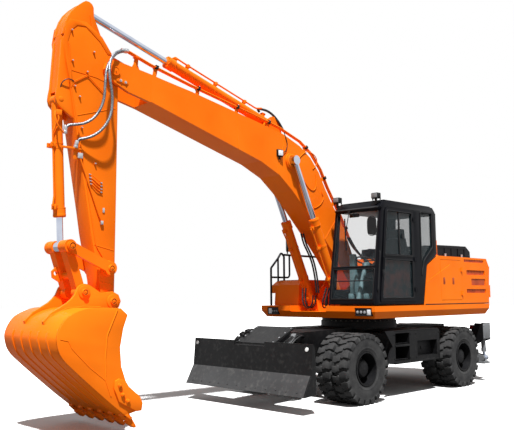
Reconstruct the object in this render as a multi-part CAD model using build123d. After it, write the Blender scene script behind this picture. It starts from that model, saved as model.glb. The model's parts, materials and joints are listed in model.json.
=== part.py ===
"""Wheeled excavator, about 20 t: chassis with blade and stabilisers, slewing upper, boom, arm and bucket.

Millimetres. +X is forward, +Y is left and +Z is up. The origin is on the ground under the middle of the
machine's length. Shapes are drawn about the slewing axis and shifted by SLEW_X when they are written.
Side profiles are drawn in X and Z and pushed out along Y.
"""
from build123d import *
from math import atan2, cos, degrees, hypot, pi, radians, sin
import os

# ---- driving dimensions -------------------------------------------------------------------------------
SLEW_X = -1665.0            # slewing axis in the finished frame
HALF_WIDTH = 1250.0         # half of the width over tyres and blade

TYRE_R = 525.0
TYRE_W = 270.0
TYRE_OUT_Y = HALF_WIDTH - TYRE_W / 2
TYRE_IN_Y = TYRE_OUT_Y - 320.0
FRONT_X = 1455.0
REAR_X = -1425.0
KINGPIN_Y = 615.0
AXLE_Z = TYRE_R
BEAD_R = 254.0
WALL = 45.0                 # thickness of the cab's walls
HUB_END_Y = 1190.0

DECK_Z = 1250.0             # underside of the slewing deck
DECK_TOP = 1445.0
DECK_FRONT = 1200.0
DECK_Y = 1225.0
TAIL_R = 2820.0
RING_R = 640.0

BOOM_Y = -140.0             # plane of the boom, right of the slewing axis to make room for the cab
BOOM_HALF = 220.0
PIPE_YS = (168.0, 204.0)    # hydraulic pipes on each side of the boom's top
PIPE_R = 14.0
ARM_HALF = 145.0
BUCKET_HALF = 650.0

CAB_RIGHT = 285.0
CAB_LEFT = 1215.0
CAB_FLOOR = 1465.0
CAB_ROOF = 3120.0

# ---- pins of the working gear, X and Z from the slewing axis on the ground ----------------------------
BOOM_FOOT = (150.0, 1800.0)
BOOM_CYL_BASE = (705.0, 1455.0)
BOOM_CYL_EYE = (1820.0, 3780.0)
BOOM_TIP = (5170.0, 4520.0)
ARM_CYL_BASE = (2100.0, 4373.0)
ARM_CYL_EYE = (5520.0, 5290.0)
BUCKET_PIN = (5165.0, 1560.0)
LEVER_PIN = (5195.0, 1970.0)
LINK_PIN = (5765.0, 2223.0)
BUCKET_LINK_PIN = (5570.0, 1672.0)
BUCKET_CYL_BASE = (5870.0, 4035.0)
LIFTING_EYE = (5750.0, 1905.0)
EYE_R = 26.0
BOOM_CYL_Y = 310.0          # from the boom's plane

BLADE_PIN = (2020.0, 560.0)
BLADE_CYL_BASE = (2010.0, 985.0)
BLADE_CYL_EYE = (2560.0, 700.0)
BLADE_CYL_Y = 300.0
ARM_IN, ARM_OUT = 190.0, 310.0  # between the chassis lugs that hold each of the blade's arms
BLADE_TOP = 945.0
STAB_PIN = (300.0, 560.0)   # Y and Z of a stabiliser leg's pivot
STAB_CYL_BASE = (1065.0, 1000.0)
STAB_CYL_EYE = (1090.0, 430.0)
STAB_X = -2455.0            # middle plane of the stabiliser frame

DOOR_HINGE = (40.0, 1243.0)     # X and Y
HOOD_HINGE = (-1235.0, 2330.0)  # X and Z
SIDE_DOOR_HINGE = (-1475.0, 1238.0)

# side panels of the engine housing: outline above the crease, and the louvres' X and Z limits
ABOVE_CREASE = [(-250, 1813), (-1078, 2144), (-2600, 2144), (-2600, 2300), (-250, 2300)]
LOUVRES = ((-2330, -1590, 2205, 2255), (-2345, -1660, 1974, 2060), (-2360, -1830, 1785, 1905),
           (-2370, -1650, 1645, 1715))


# ---- helpers ------------------------------------------------------------------------------------------
def block(x0, x1, y0, y1, z0, z1):
    return Pos((x0 + x1) / 2, (y0 + y1) / 2, (z0 + z1) / 2) * Box(x1 - x0, y1 - y0, z1 - z0)


def plate_y(points, y0, y1):
    """A profile given in X and Z, pushed out from y0 to y1."""
    face = Plane.XZ * make_face(Polyline(*points, close=True))
    return Pos(0, y1, 0) * extrude(face, y1 - y0)


def plate_x(points, x0, x1):
    """A profile given in Y and Z, pushed out from x0 to x1."""
    face = Plane.YZ * make_face(Polyline(*points, close=True))
    return Pos(x0, 0, 0) * extrude(face, x1 - x0)


def plate_z(points, z0, z1):
    face = make_face(Polyline(*points, close=True))
    return Pos(0, 0, z0) * extrude(face, z1 - z0)


def round_y(pin, radius, y0, y1):
    """A round bar along Y at a pin given in X and Z."""
    return Pos(pin[0], (y0 + y1) / 2, pin[1]) * Rot(90, 0, 0) * Cylinder(radius, y1 - y0)


def round_x(y, z, radius, x0, x1):
    return Pos((x0 + x1) / 2, y, z) * Rot(0, 90, 0) * Cylinder(radius, x1 - x0)


def round_z(x, y, radius, z0, z1):
    return Pos(x, y, (z0 + z1) / 2) * Cylinder(radius, z1 - z0)


def bar(start, end, radius):
    """A round bar between two points."""
    a, b = Vector(*start), Vector(*end)
    return Plane(origin=a, z_dir=b - a) * Cylinder(radius, (b - a).length,
                                                   align=(Align.CENTER, Align.CENTER, Align.MIN))


def tube(points, radius, bend):
    """A bent round tube through the points, with arcs of radius bend at its corners."""
    line = FilletPolyline(*points, radius=bend) if len(points) > 2 else Polyline(*points)
    return sweep(Plane(origin=line @ 0, z_dir=line % 0) * Circle(radius), path=line)


def mirrored(shape):
    return shape + mirror(shape, Plane.XZ)


def union(shapes):
    """One solid from shapes that touch, or several where they don't."""
    shapes = list(shapes)
    return shapes[0] + shapes[1:] if len(shapes) > 1 else shapes[0]


def along(pin_a, pin_b, distance):
    length = hypot(pin_b[0] - pin_a[0], pin_b[1] - pin_a[1])
    return (pin_a[0] + (pin_b[0] - pin_a[0]) * distance / length,
            pin_a[1] + (pin_b[1] - pin_a[1]) * distance / length)


def cylinder_pair(base, eye, barrel_len, barrel_r, rod_r, eye_w, rod_in, y=0.0, across=False):
    """Barrel and rod of a hydraulic cylinder between two pins; rod_in is where the rod's inner end stands."""
    def place(p):
        return (STAB_X, p[0], p[1]) if across else (p[0], y, p[1])

    def eye_ring(p, radius):
        if across:
            return round_x(p[0], p[1], radius, STAB_X - eye_w / 2, STAB_X + eye_w / 2)
        return round_y(p, radius, y - eye_w / 2, y + eye_w / 2)

    gland = along(base, eye, barrel_len - 1.6 * barrel_r)
    end = along(base, eye, barrel_len)
    barrel = bar(place(along(base, eye, barrel_r * 0.6)), place(end), barrel_r)
    barrel += bar(place(gland), place(end), barrel_r * 1.16)
    barrel += eye_ring(base, barrel_r * 1.05)
    barrel -= bar(place(along(base, eye, barrel_r * 1.3)), place(along(base, eye, barrel_len + 5)),
                  rod_r + 0.5)
    rod = bar(place(along(base, eye, rod_in)), place(along(base, eye, reach(base, eye) - barrel_r * 0.5)),
              rod_r)
    rod += eye_ring(eye, barrel_r * 1.02)
    return barrel, rod


def reach(a, b):
    return hypot(b[0] - a[0], b[1] - a[1])


# ---- wheels -------------------------------------------------------------------------------------------
LUGS = 20                   # block lugs on each half of the tread
LUG_SHARE = 0.5             # share of the pitch that a lug takes, so lugs face gaps across the middle
LUG_DEEP = 28.0
TREAD_RIB = 12.0            # width of the plain rib between the two rows of lugs
SHOULDER = 0.965            # how much smaller the tread is at the shoulder


def tread_ring(y, size, turn):
    """Toothed outline of one half of the tread, a lug and a gap to each pitch, across the axle at y."""
    pitch = 360 / LUGS
    corners = []
    for n in range(LUGS):
        start = -90 + turn + n * pitch
        for angle, radius in ((0, TYRE_R), (LUG_SHARE * pitch, TYRE_R),
                              (LUG_SHARE * pitch, TYRE_R - LUG_DEEP), (pitch, TYRE_R - LUG_DEEP)):
            corners.append((size * radius * cos(radians(start + angle)),
                            size * radius * sin(radians(start + angle))))
    return Plane(origin=(0, y, 0), x_dir=(1, 0, 0), z_dir=(0, -1, 0)) * make_face(Polyline(*corners,
            close=True))


def tyre(y):
    """One tyre about the axle: a rib between two toothed halves, half a pitch apart, and a faceted bore."""
    across = Plane(origin=(0, 0, 0), x_dir=(1, 0, 0), z_dir=(0, -1, 0))
    body = across * extrude(RegularPolygon(TYRE_R - LUG_DEEP, 2 * LUGS), TREAD_RIB / 2, both=True)
    for side in (1, -1):
        turn = 0 if side > 0 else 180 / LUGS
        inner = tread_ring(side * TREAD_RIB / 2, 1.0, turn)
        body += loft([inner, tread_ring(side * TYRE_W / 2, SHOULDER, turn)], ruled=True)
    bore = across * extrude(RegularPolygon(BEAD_R / cos(pi / LUGS), LUGS), TYRE_W, both=True)
    return Pos(0, y, 0) * (body - bore)


def wheel(x, side):
    """Twin tyres, and the rims with their planetary hub, on the side given by +1 or -1."""
    tyres = union([tyre(y) for y in (TYRE_OUT_Y, TYRE_IN_Y)])
    # rim section: Y along the axle, radius
    drum = [(660, 205), (660, BEAD_R - 0.5), (1250 - 14, BEAD_R - 0.5), (1250 - 14, 232), (1010, 226),
            (1000, 150), (985, 150), (985, 226), (690, 226), (690, 205)]
    rim = revolve(make_face(Polyline(*drum, close=True)), Axis.X)
    cap = [(900, 0), (900, 150), (1060, 150), (1070, 138), (1150, 132), (1175, 110), (HUB_END_Y - 5, 60),
           (HUB_END_Y, 0)]
    hub = revolve(make_face(Polyline(*cap, close=True)), Axis.X)
    rims = rim + hub
    shapes = [tyres, Rot(0, 0, 90) * rims]
    if side < 0:
        shapes = [mirror(s, Plane.XZ) for s in shapes]
    return [Pos(x, 0, AXLE_Z) * s for s in shapes]


# ---- chassis ------------------------------------------------------------------------------------------
def chassis_frame():
    side = [(-2330, 620), (-1900, 640), (-1750, 720), (-1100, 720), (-900, 640), (800, 640), (1000, 720),
            (1850, 720), (1850, 480), (1900, 480), (1900, 1050), (1150, 1060), (500, 1100), (-500, 1100),
            (-1150, 1060), (-2330, 1050)]
    frame = plate_y(side, -330, 330)
    frame += round_z(0, 0, RING_R + 20, 1056, 1180)
    frame += round_z(0, 0, RING_R - 30, 1175, 1243)
    frame += block(-700, 560, -560, 560, 900, 1060)
    # slewing ring's outer race, with a groove under it
    frame += round_z(0, 0, RING_R, 1190, 1243)
    # rear cross frame of the stabilisers: front and rear plates with a top plate between their tops
    plate = [(-1140, 1070), (-990, 1075), (-900, 900), (-330, 900), (330, 900), (900, 900), (990, 1075),
             (1140, 1070),
             (1140, 760), (950, 700), (420, 440), (-420, 440), (-950, 700), (-1140, 760)]
    for x in (-2610, -2340):
        frame += plate_x(plate, x, x + 24)
    frame += block(-2600, -2330, -140, 140, 500, 880)
    for s in (1, -1):
        lo, hi = sorted((s * 1132, s * 1152))
        frame += block(-2610, -2316, lo, hi, 770, 1076)
    # lugs of the blade's arms and cylinders
    for y in (-ARM_OUT - 30, -ARM_IN, ARM_IN - 30, ARM_OUT):
        frame += plate_y([(1880, 480), (2060, 470), (2110, 530), (2110, 610), (2060, 660), (1880, 680)], y,
                         y + 30)
    frame += block(1880, 1935, -ARM_OUT - 30, ARM_OUT + 30, 490, 660)
    frame += block(1880, 1905, -375, 375, 890, 1050)
    for y in (-ARM_OUT - 30, ARM_IN - 30):
        frame += round_y(BLADE_PIN, 30, y, y + ARM_OUT - ARM_IN + 60)
    for y in (-BLADE_CYL_Y - 75, -BLADE_CYL_Y + 53, BLADE_CYL_Y - 75, BLADE_CYL_Y + 53):
        frame += plate_y([(1890, 900), (1960, 905), (2040, 930), (2065, 985), (2040, 1035), (1960, 1050),
                          (1890, 1050)], y, y + 22)
    for s in (1, -1):
        frame += round_x(s * STAB_PIN[0], STAB_PIN[1], 35, -2610, -2316)
    return frame


def side_box(side):
    """Steps and a tool box hung on the side of the chassis."""
    y0, y1 = 570, 1150
    profile = [(-760, 520), (-760, 1010), (-700, 1050), (560, 1050), (620, 1000), (620, 560), (580, 520)]
    box = plate_y(profile, y0, y1)
    for x0, x1, z0, z1, deep in ((170, 575, 825, 1005, 260), (170, 575, 570, 790, 260),
                                 (-670, -60, 610, 860, 120)):
        box -= block(x0, x1, y1 - deep, y1 + 1, z0, z1)
    box = box - block(-745, 605, y0 + 15, y1 - 275, 535, 1035)
    # gusset ahead of the box, notched round the front tyre
    box += plate_y([(592, 1023), (600, 1050), (850, 1050), (730, 900), (650, 800), (730, 690), (806, 540),
                    (592, 540)], y1 - 30, y1)
    return box if side > 0 else mirror(box, Plane.XZ)


def axle(x, steered):
    tube_y = KINGPIN_Y - 75 if steered else 880
    body = round_y((x, AXLE_Z), 95, -tube_y, tube_y)
    body += Pos(x, 0, AXLE_Z) * Sphere(185)
    body += round_x(0, AXLE_Z, 80, x - 330 if x > 0 else x, x if x > 0 else x + 330)
    body += block(x - 120, x + 120, -330, 330, AXLE_Z + 60, 716)
    if steered:
        for s in (1, -1):
            lo, hi = sorted((s * (KINGPIN_Y - 90), s * (KINGPIN_Y + 45)))
            for z in (AXLE_Z + 118, AXLE_Z - 158):
                body += block(x - 55, x + 55, lo, hi, z, z + 40)
            lo, hi = sorted((s * (KINGPIN_Y - 120), s * (KINGPIN_Y - 80)))
            body += block(x - 70, x + 70, lo, hi, AXLE_Z - 158, AXLE_Z + 158)
    else:
        for s in (1, -1):
            lo, hi = sorted((s * 640, s * 885))
            body += round_y((x, AXLE_Z), 145, lo, hi)
    return body


def axles():
    shaft = round_x(0, AXLE_Z, 40, REAR_X + 300, FRONT_X - 300)
    gearbox = block(60, 420, -190, 190, 370, 636)
    gearbox += round_x(100, 520, 95, 400, 620)
    return union([axle(FRONT_X, True), axle(REAR_X, False), shaft, gearbox])


def knuckle(side):
    """Steering knuckle between the axle's yoke lugs, with the spindle that carries the hub."""
    body = Pos(FRONT_X, KINGPIN_Y, AXLE_Z) * Cylinder(60, 230)
    body += round_y((FRONT_X, AXLE_Z), 100, KINGPIN_Y, 890)
    body += round_y((FRONT_X, AXLE_Z), 60, 880, 899)
    return body if side > 0 else mirror(body, Plane.XZ)


# ---- blade --------------------------------------------------------------------------------------------
def blade():
    """Moldboard of two flats, closed by wing plates, with its arms and the sloping cover over its gear."""
    front = [(2890, 248), (2735, 527), (2700, BLADE_TOP)]
    board = plate_y(front + [(2672, BLADE_TOP), (2705, 520), (2845, 248)], -1238, 1238)
    board -= block(2600, 2800, -320, 320, BLADE_TOP - 60, BLADE_TOP + 5)
    wing = front + [(2660, BLADE_TOP - 30), (2640, 700), (2640, 270)]
    for y in (-HALF_WIDTH, HALF_WIDTH - 20):
        board += plate_y(wing, y, y + 20)
    board += block(2640, 2706, -1100, 1100, 640, 720)
    board += plate_y([(2640, 300), (2790, 300), (2730, 420), (2640, 420)], -1100, 1100)
    arm = [(1985, 510), (2050, 500), (2650, 320), (2680, 420), (2680, 640), (2560, 640), (2080, 620),
           (2000, 610)]
    for y in (-ARM_OUT + 8, ARM_IN + 8):
        board += plate_y(arm, y, y + 104) - round_y(BLADE_PIN, 30.5, y - 1, y + 105)
    board += block(2560, 2680, -ARM_OUT, ARM_OUT, 380, 480)
    for y in (-BLADE_CYL_Y - 75, -BLADE_CYL_Y + 51, BLADE_CYL_Y - 75, BLADE_CYL_Y + 51):
        board += plate_y([(2510, 640), (2600, 620), (2700, 560), (2700, 800), (2560, 760), (2510, 720)], y,
                         y + 24)
    cover = plate_y([(2120, 1140), (2600, 915), (2600, 895), (2690, 700), (2680, 690), (2585, 880),
                     (2115, 1124)], -400, 400)
    return board + cover


# ---- stabilisers --------------------------------------------------------------------------------------
def stabiliser_leg(side):
    """Leg pivoted near the chassis's middle, with its cylinder lug and swivel foot at the outer end."""
    leg = plate_x([(250, 520), (300, 500), (1040, 370), (1110, 385), (1135, 430), (1110, 470), (1050, 480),
                   (330, 625), (250, 600)], STAB_X - 85, STAB_X + 85)
    leg -= plate_x([(960, 340), (1180, 340), (1180, 520), (960, 520)], STAB_X - 52, STAB_X + 52)
    leg += block(STAB_X - 85, STAB_X + 85, 955, 1120, 352, 372)
    leg += block(STAB_X - 110, STAB_X + 110, 900, 1140, 322, 354)
    leg -= round_x(STAB_PIN[0], STAB_PIN[1], 35.5, STAB_X - 90, STAB_X + 90)
    return leg if side > 0 else mirror(leg, Plane.XZ)


# ---- upper structure ----------------------------------------------------------------------------------
def tail(x_front, y_half, radius):
    """Plan outline: straight front and sides, round tail."""
    x_corner = -(radius ** 2 - y_half ** 2) ** 0.5
    front = Polyline((x_corner, y_half), (x_front, y_half), (x_front, -y_half), (x_corner, -y_half))
    back = ThreePointArc((x_corner, -y_half), (-radius, 0), (x_corner, y_half))
    return make_face(Curve() + [front, back])


def deck():
    """Slewing deck with its folded edge, and the main frame's two plates that carry the boom."""
    slab = Pos(0, 0, 1360) * extrude(tail(DECK_FRONT, DECK_Y, TAIL_R - 60), DECK_TOP - 1360)
    slab += loft([Pos(0, 0, DECK_Z) * tail(DECK_FRONT - 70, DECK_Y - 70, TAIL_R - 130),
                  Pos(0, 0, 1360) * tail(DECK_FRONT, DECK_Y, TAIL_R - 60)])
    # front lamps' recesses
    for y0, y1 in ((830, 1160), (-1080, -810)):
        slab -= block(DECK_FRONT - 75, DECK_FRONT + 5, y0, y1, 1290, 1418)
    # the boom's well in the front edge
    slab -= block(600, DECK_FRONT + 5, BOOM_Y - 388, BOOM_Y + 388, DECK_Z + 100, DECK_TOP + 5)
    plate = [(-1100, 1440), (-500, 1760), (-60, 2010), (310, 2010), (420, 1800), (560, 1700), (620, 1440)]
    for y in (BOOM_Y - 305, BOOM_Y + 280):
        slab += plate_y(plate, y, y + 25)
    # lugs of the boom cylinders
    lug = [(540, 1300), (950, 1300), (950, 1360), (860, 1440), (800, 1520), (705, 1555), (610, 1520),
           (540, 1440)]
    for y in (-BOOM_CYL_Y - 104, -BOOM_CYL_Y + 80, BOOM_CYL_Y - 104, BOOM_CYL_Y + 80):
        slab += plate_y(lug, BOOM_Y + y, BOOM_Y + y + 24)
    slab += round_y(BOOM_FOOT, 60, BOOM_Y - 305, BOOM_Y + 305)
    return slab


def front_x(z):
    """Outer face of the raked windscreen at a height."""
    return 1160 - 215 * (z - 1600) / 1400


def cab_side(inset=0.0):
    return [(1160 - inset, CAB_FLOOR + inset), (1160 - inset, 1600), (945 - inset, 3000 - inset),
            (860, CAB_ROOF - inset), (-560, CAB_ROOF - inset),
            (-650 + inset, 3040 - inset), (-670 + inset, 2310), (-340 + inset, 2125),
            (-210 + inset, CAB_FLOOR + inset)]




def cab_shell():
    """Cab shell with its door opening and windows cut; the door and the glass are pieces of their own."""
    shell = plate_y(cab_side(), CAB_RIGHT, CAB_LEFT)
    shell -= plate_y(cab_side(WALL), CAB_RIGHT + WALL, CAB_LEFT - WALL)
    # door opening through the left wall
    door = [(50, 1505), (1040, 1505), (1040, 1600), (870, 2960), (830, 3010), (50, 3010)]
    shell -= plate_y(door, CAB_LEFT - WALL - 5, CAB_LEFT + 5)
    # windscreen: upper and lower lights, seen along X
    shell -= plate_x([(375, 1600), (1125, 1600), (1125, 2030), (375, 2030)], 900, 1200)
    shell -= plate_x([(375, 2075), (1125, 2075), (1125, 2950), (375, 2950)], 850, 1200)
    # quarter window behind the door, right side window and rear window
    quarter = [(-165, 1930), (-165, 3010), (-520, 3010), (-520, 2420), (-245, 2190)]
    shell -= plate_y(quarter, CAB_LEFT - WALL - 5, CAB_LEFT + 5)
    right = [(-520, 2420), (-520, 3010), (850, 3010), (1010, 1700), (-60, 1700), (-60, 2150)]
    shell -= plate_y(right, CAB_RIGHT - 5, CAB_RIGHT + WALL + 5)
    shell -= plate_x([(380, 2400), (1120, 2400), (1120, 2990), (380, 2990)], -700, -600)
    return shell


def cab_glass():
    """Fixed panes, thinner than the wall and seated in its openings."""
    t0 = 18.0
    def screen(z0, z1):
        return plate_y([(front_x(z0) - 22, z0), (front_x(z0) - 14, z0), (front_x(z1) - 14, z1),
                        (front_x(z1) - 22, z1)], 376, 1124)
    upper = screen(2076, 2949)
    lower = screen(1601, 2029)
    quarter = plate_y([(-167, 1945), (-167, 3008), (-518, 3008), (-518, 2424), (-241, 2197)], CAB_LEFT - t0,
                      CAB_LEFT - t0 + 6)
    right = plate_y([(-518, 2421), (-518, 3008), (849, 3008), (1007, 1703), (-57, 1703), (-57, 2154)],
                    CAB_RIGHT + 12, CAB_RIGHT + 18)
    rear = block(-655, -649, 381, 1119, 2401, 2989)
    return union([upper, lower, quarter, right, rear])


def cab_door():
    outline = [(56, 1511), (1034, 1511), (1034, 1598), (866, 2954), (828, 3004), (56, 3004)]
    door = plate_y(outline, CAB_LEFT - 38, CAB_LEFT + 12)
    upper = [(120, 2240), (120, 2960), (800, 2960), (815, 2940), (905, 2240)]
    lower = [(120, 1570), (120, 2180), (912, 2180), (985, 1600), (985, 1570)]
    for light in (upper, lower):
        door -= plate_y(light, CAB_LEFT - 60, CAB_LEFT + 30)
    for z in (1700, 2200, 2860):
        door += round_z(*DOOR_HINGE, 7, z - 40, z + 40) + block(40, 84, CAB_LEFT + 21, CAB_LEFT + 29, z - 30,
                z + 30)
        door += block(66, 84, CAB_LEFT + 10, CAB_LEFT + 29, z - 30, z + 30)
    # pull handle on the front stile, on two feet
    door += tube([(935, CAB_LEFT + 8, 2200), (935, CAB_LEFT + 26, 2200), (958, CAB_LEFT + 26, 2030),
                  (958, CAB_LEFT + 8, 2030)], 7, 9)
    return door


def door_glass():
    upper = [(121, 2241), (121, 2959), (799, 2959), (814, 2939), (904, 2241)]
    lower = [(121, 1571), (121, 2179), (911, 2179), (984, 1601), (984, 1571)]
    return union([plate_y(p, CAB_LEFT - 10, CAB_LEFT - 4) for p in (upper, lower)])


def cab_interior():
    """Floor, seat on its pedestal, two consoles and the steering column with its wheel."""
    floor = block(-155, 1100, 345, 1155, 1512, 1540)
    seat = block(60, 420, 600, 920, 1539, 1900)
    seat += block(-20, 500, 500, 1020, 1899, 2030)
    seat += plate_y([(-60, 1990), (80, 1990), (-70, 2560), (-190, 2560)], 510, 1010)
    seat += plate_y([(-100, 2550), (-70, 2550), (-110, 2760), (-190, 2760), (-190, 2550)], 620, 900)
    right_console = block(60, 700, 350, 485, 1539, 2080)
    left_console = block(60, 560, 1035, 1140, 1900, 2060) + block(120, 420, 1035, 1140, 1539, 1901)
    column = bar((980, 750, 1539), (752, 750, 2172), 45)
    column += Plane(origin=(750, 750, 2170), z_dir=(-0.34, 0, 0.94)) * Torus(185, 14)
    column += bar((780, 570, 2180), (720, 930, 2150), 14)
    return union([floor, seat, right_console, left_console, column])


def engine_housing():
    """Side walls, front wall and top frame of the engine bay; the lid and side doors are their own pieces."""
    left = [(-225, 1450), (-358, 2118), (-700, 2290), (-2440, 2290), (-2540, 2136), (-2460, 1450)]
    body = plate_y(left, 1150, 1222) - plate_y([(-760, 1520), (-760, 2230), (-1470, 2230), (-1470, 1520)],
                                               1140, 1230)
    body += plate_y([(x, z) for x, z in [(-700, 1450), (-700, 2290), (-2440, 2290), (-2540, 2136),
                                         (-2460, 1450)]], -1222, -1150) \
        - plate_y([(-760, 1520), (-760, 2230), (-1470, 2230), (-1470, 1520)], -1230, -1140)
    body += block(-760, -700, -1222, 1222, 1450, 2290) - block(-770, -690, BOOM_Y - 320, BOOM_Y + 320, 1440,
            1760)
    body += plate_y([(-1240, 2250), (-700, 2250), (-700, 2290), (-1240, 2290)], -1222, 1222)
    for s in (1, -1):
        lo, hi = sorted((s * 860, s * 1222))
        body += block(-2440, -1230, lo, hi, 2250, 2290)
    for s in (1, -1):
        pockets, slats = louvres(s)
        body = body - pockets + slats
        # panel above the crease stands back from the one below
        lo, hi = sorted((s * 1214, s * 1230))
        body -= plate_y(ABOVE_CREASE, lo, hi)
    # grab post beside the cab
    body += round_z(-800, 1120, 18, 2285, 2565) + round_z(-800, 1120, 36, 2285, 2302)
    return body


def hood_lid():
    """Ribbed lid over the engine, hinged at its front edge."""
    lid = plate_y([(-1250, 2300), (-1300, 2520), (-2330, 2540), (-2490, 2440), (-2500, 2300)], -855, 855)
    lid -= plate_y([(-1275, 2290), (-1320, 2500), (-2325, 2520), (-2465, 2430), (-2475, 2290)], -825, 825)
    # raised ribs along the top, recessed cells down each side, and the hinge's knuckles at the front
    for n in range(-4, 5):
        lid += plate_y([(-1340, 2515), (-1350, 2534), (-2300, 2553), (-2320, 2535)], 180 * n - 22,
                       180 * n + 22)
    for n in range(4):
        x = -1345 - 245 * n
        for s in (1, -1):
            lo, hi = sorted((s * 845, s * 856))
            lid -= block(x - 205, x, lo, hi, 2340, 2480)
    for y in (-600, 600):
        lid += round_y(HOOD_HINGE, 12, y - 50, y + 50) + block(-1262, -1240, y - 50, y + 50, 2322, 2338)
    return lid


def louvres(side):
    """Recessed grilles in the housing's rear side panel, each a pocket with upright slats."""
    y = side * 1222
    pockets, slats = [], []
    for x0, x1, z0, z1 in LOUVRES:
        lo, hi = sorted((y, y - side * 22))
        pockets.append(block(x0, x1, lo - 1, hi + 1, z0, z1))
        pitch = (x1 - x0) / 12
        lo, hi = sorted((y - side * 4, y - side * 24))
        for n in range(1, 12):
            slats.append(Pos(x0 + n * pitch, (lo + hi) / 2, (z0 + z1) / 2) * Rot(0, 0, 35 * side) * Box(6, 20,
                    z1 - z0 + 2))
    return union(pockets), union(slats)


def side_door(side):
    door = block(-1465, -765, 1172, 1224, 1526, 2224)
    door -= plate_y(ABOVE_CREASE, 1216, 1230)
    for z in (1640, 2060):
        door += round_z(*SIDE_DOOR_HINGE, 10, z - 45, z + 45) + block(-1475, -1440, 1228, 1240, z - 30,
                z + 30)
        door += block(-1455, -1425, 1220, 1230, z - 30, z + 30)
    return door if side > 0 else mirror(door, Plane.XZ)


def counterweight():
    body = Pos(0, 0, 1447) * extrude(tail(-2480, 1210, TAIL_R - 40), 700)
    lower = Pos(0, 0, 1560) * extrude(tail(-2485, 1222, TAIL_R), 230)
    body = body + lower
    body -= plate_y([(-2400, 1440), (-2466, 1440), (-2546, 2140), (-2440, 2300), (-2400, 2300)], -1300, 1300)
    return body


def right_box():
    """Fuel tank and front tool box on the right of the deck, with a step cut in its front."""
    profile = [(-640, 1447), (-640, 1885), (790, 1885), (930, 1800), (960, 1447)]
    body = plate_y(profile, -1215, -562)
    body -= block(700, 1000, -1220, -1130, 1440, 1660)
    return body


def handrails():
    """Guard rail on the right edge, with the right mirror on its post."""
    y = -1165
    rail = tube([(1010, y, 1446), (1010, y, 2110), (825, y, 2290), (740, y, 2400), (666, y, 2330),
                 (666, y, 1886)], 19, 40)
    rail += tube([(825, y, 2280), (825, y, 1876)], 17, 10)
    rail += tube([(1010, y, 1945), (520, y, 1945), (520, y, 2360)], 17, 60)
    rail += tube([(666, y, 2360), (-560, y, 2350), (-560, y, 1886)], 19, 80)
    return rail


def mirrors():
    def head(x, y, z, turn):
        return Pos(x, y, z) * Rot(0, 0, turn) * Rot(0, 90, 0) * extrude(SlotOverall(280, 140), 20, both=True)
    right = head(570, -1165, 2560, -40) + bar((570, -1165, 2382), (570, -1165, 2560), 12)
    left = head(1150, 1165, 2690, 15) + bar((1150, 1165, 2590), (1068, 1180, 2560),
                                            12) + bar((1150, 1165, 2590), (1150, 1165, 2700), 12)
    return union([right, left])


def lamps():
    """Work lamps on the cab roof and on the deck's front edge."""
    parts = []
    for y in (330, 1110):
        parts.append(block(900, 985, y - 60, y + 60, CAB_ROOF + 30, CAB_ROOF + 110) + block(930, 960, y - 15,
                y + 15, CAB_ROOF - 60, CAB_ROOF + 35))
    for y0, y1 in ((840, 1150), (-1070, -820)):
        parts.append(block(DECK_FRONT - 74, DECK_FRONT - 12, y0, y1, 1298, 1410))
    return union(parts)


def engine():
    return block(-2250, -1150, -520, 420, 1447, 2150)


# ---- working gear -------------------------------------------------------------------------------------
# run of the boom's pipes from the tip to the foot, X and Z, and where their brackets stand
PIPE_RUN = [(4990, 4850), (4600, 4745), (3900, 4610), (2700, 4415), (2050, 4300), (1560, 4150), (1270, 3980),
            (1040, 3740), (860, 3450), (500, 2960), (280, 2600)]
PIPE_BRACKETS = (4500, 3750, 2980, 2300, 1415, 955, 680, 390)


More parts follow.
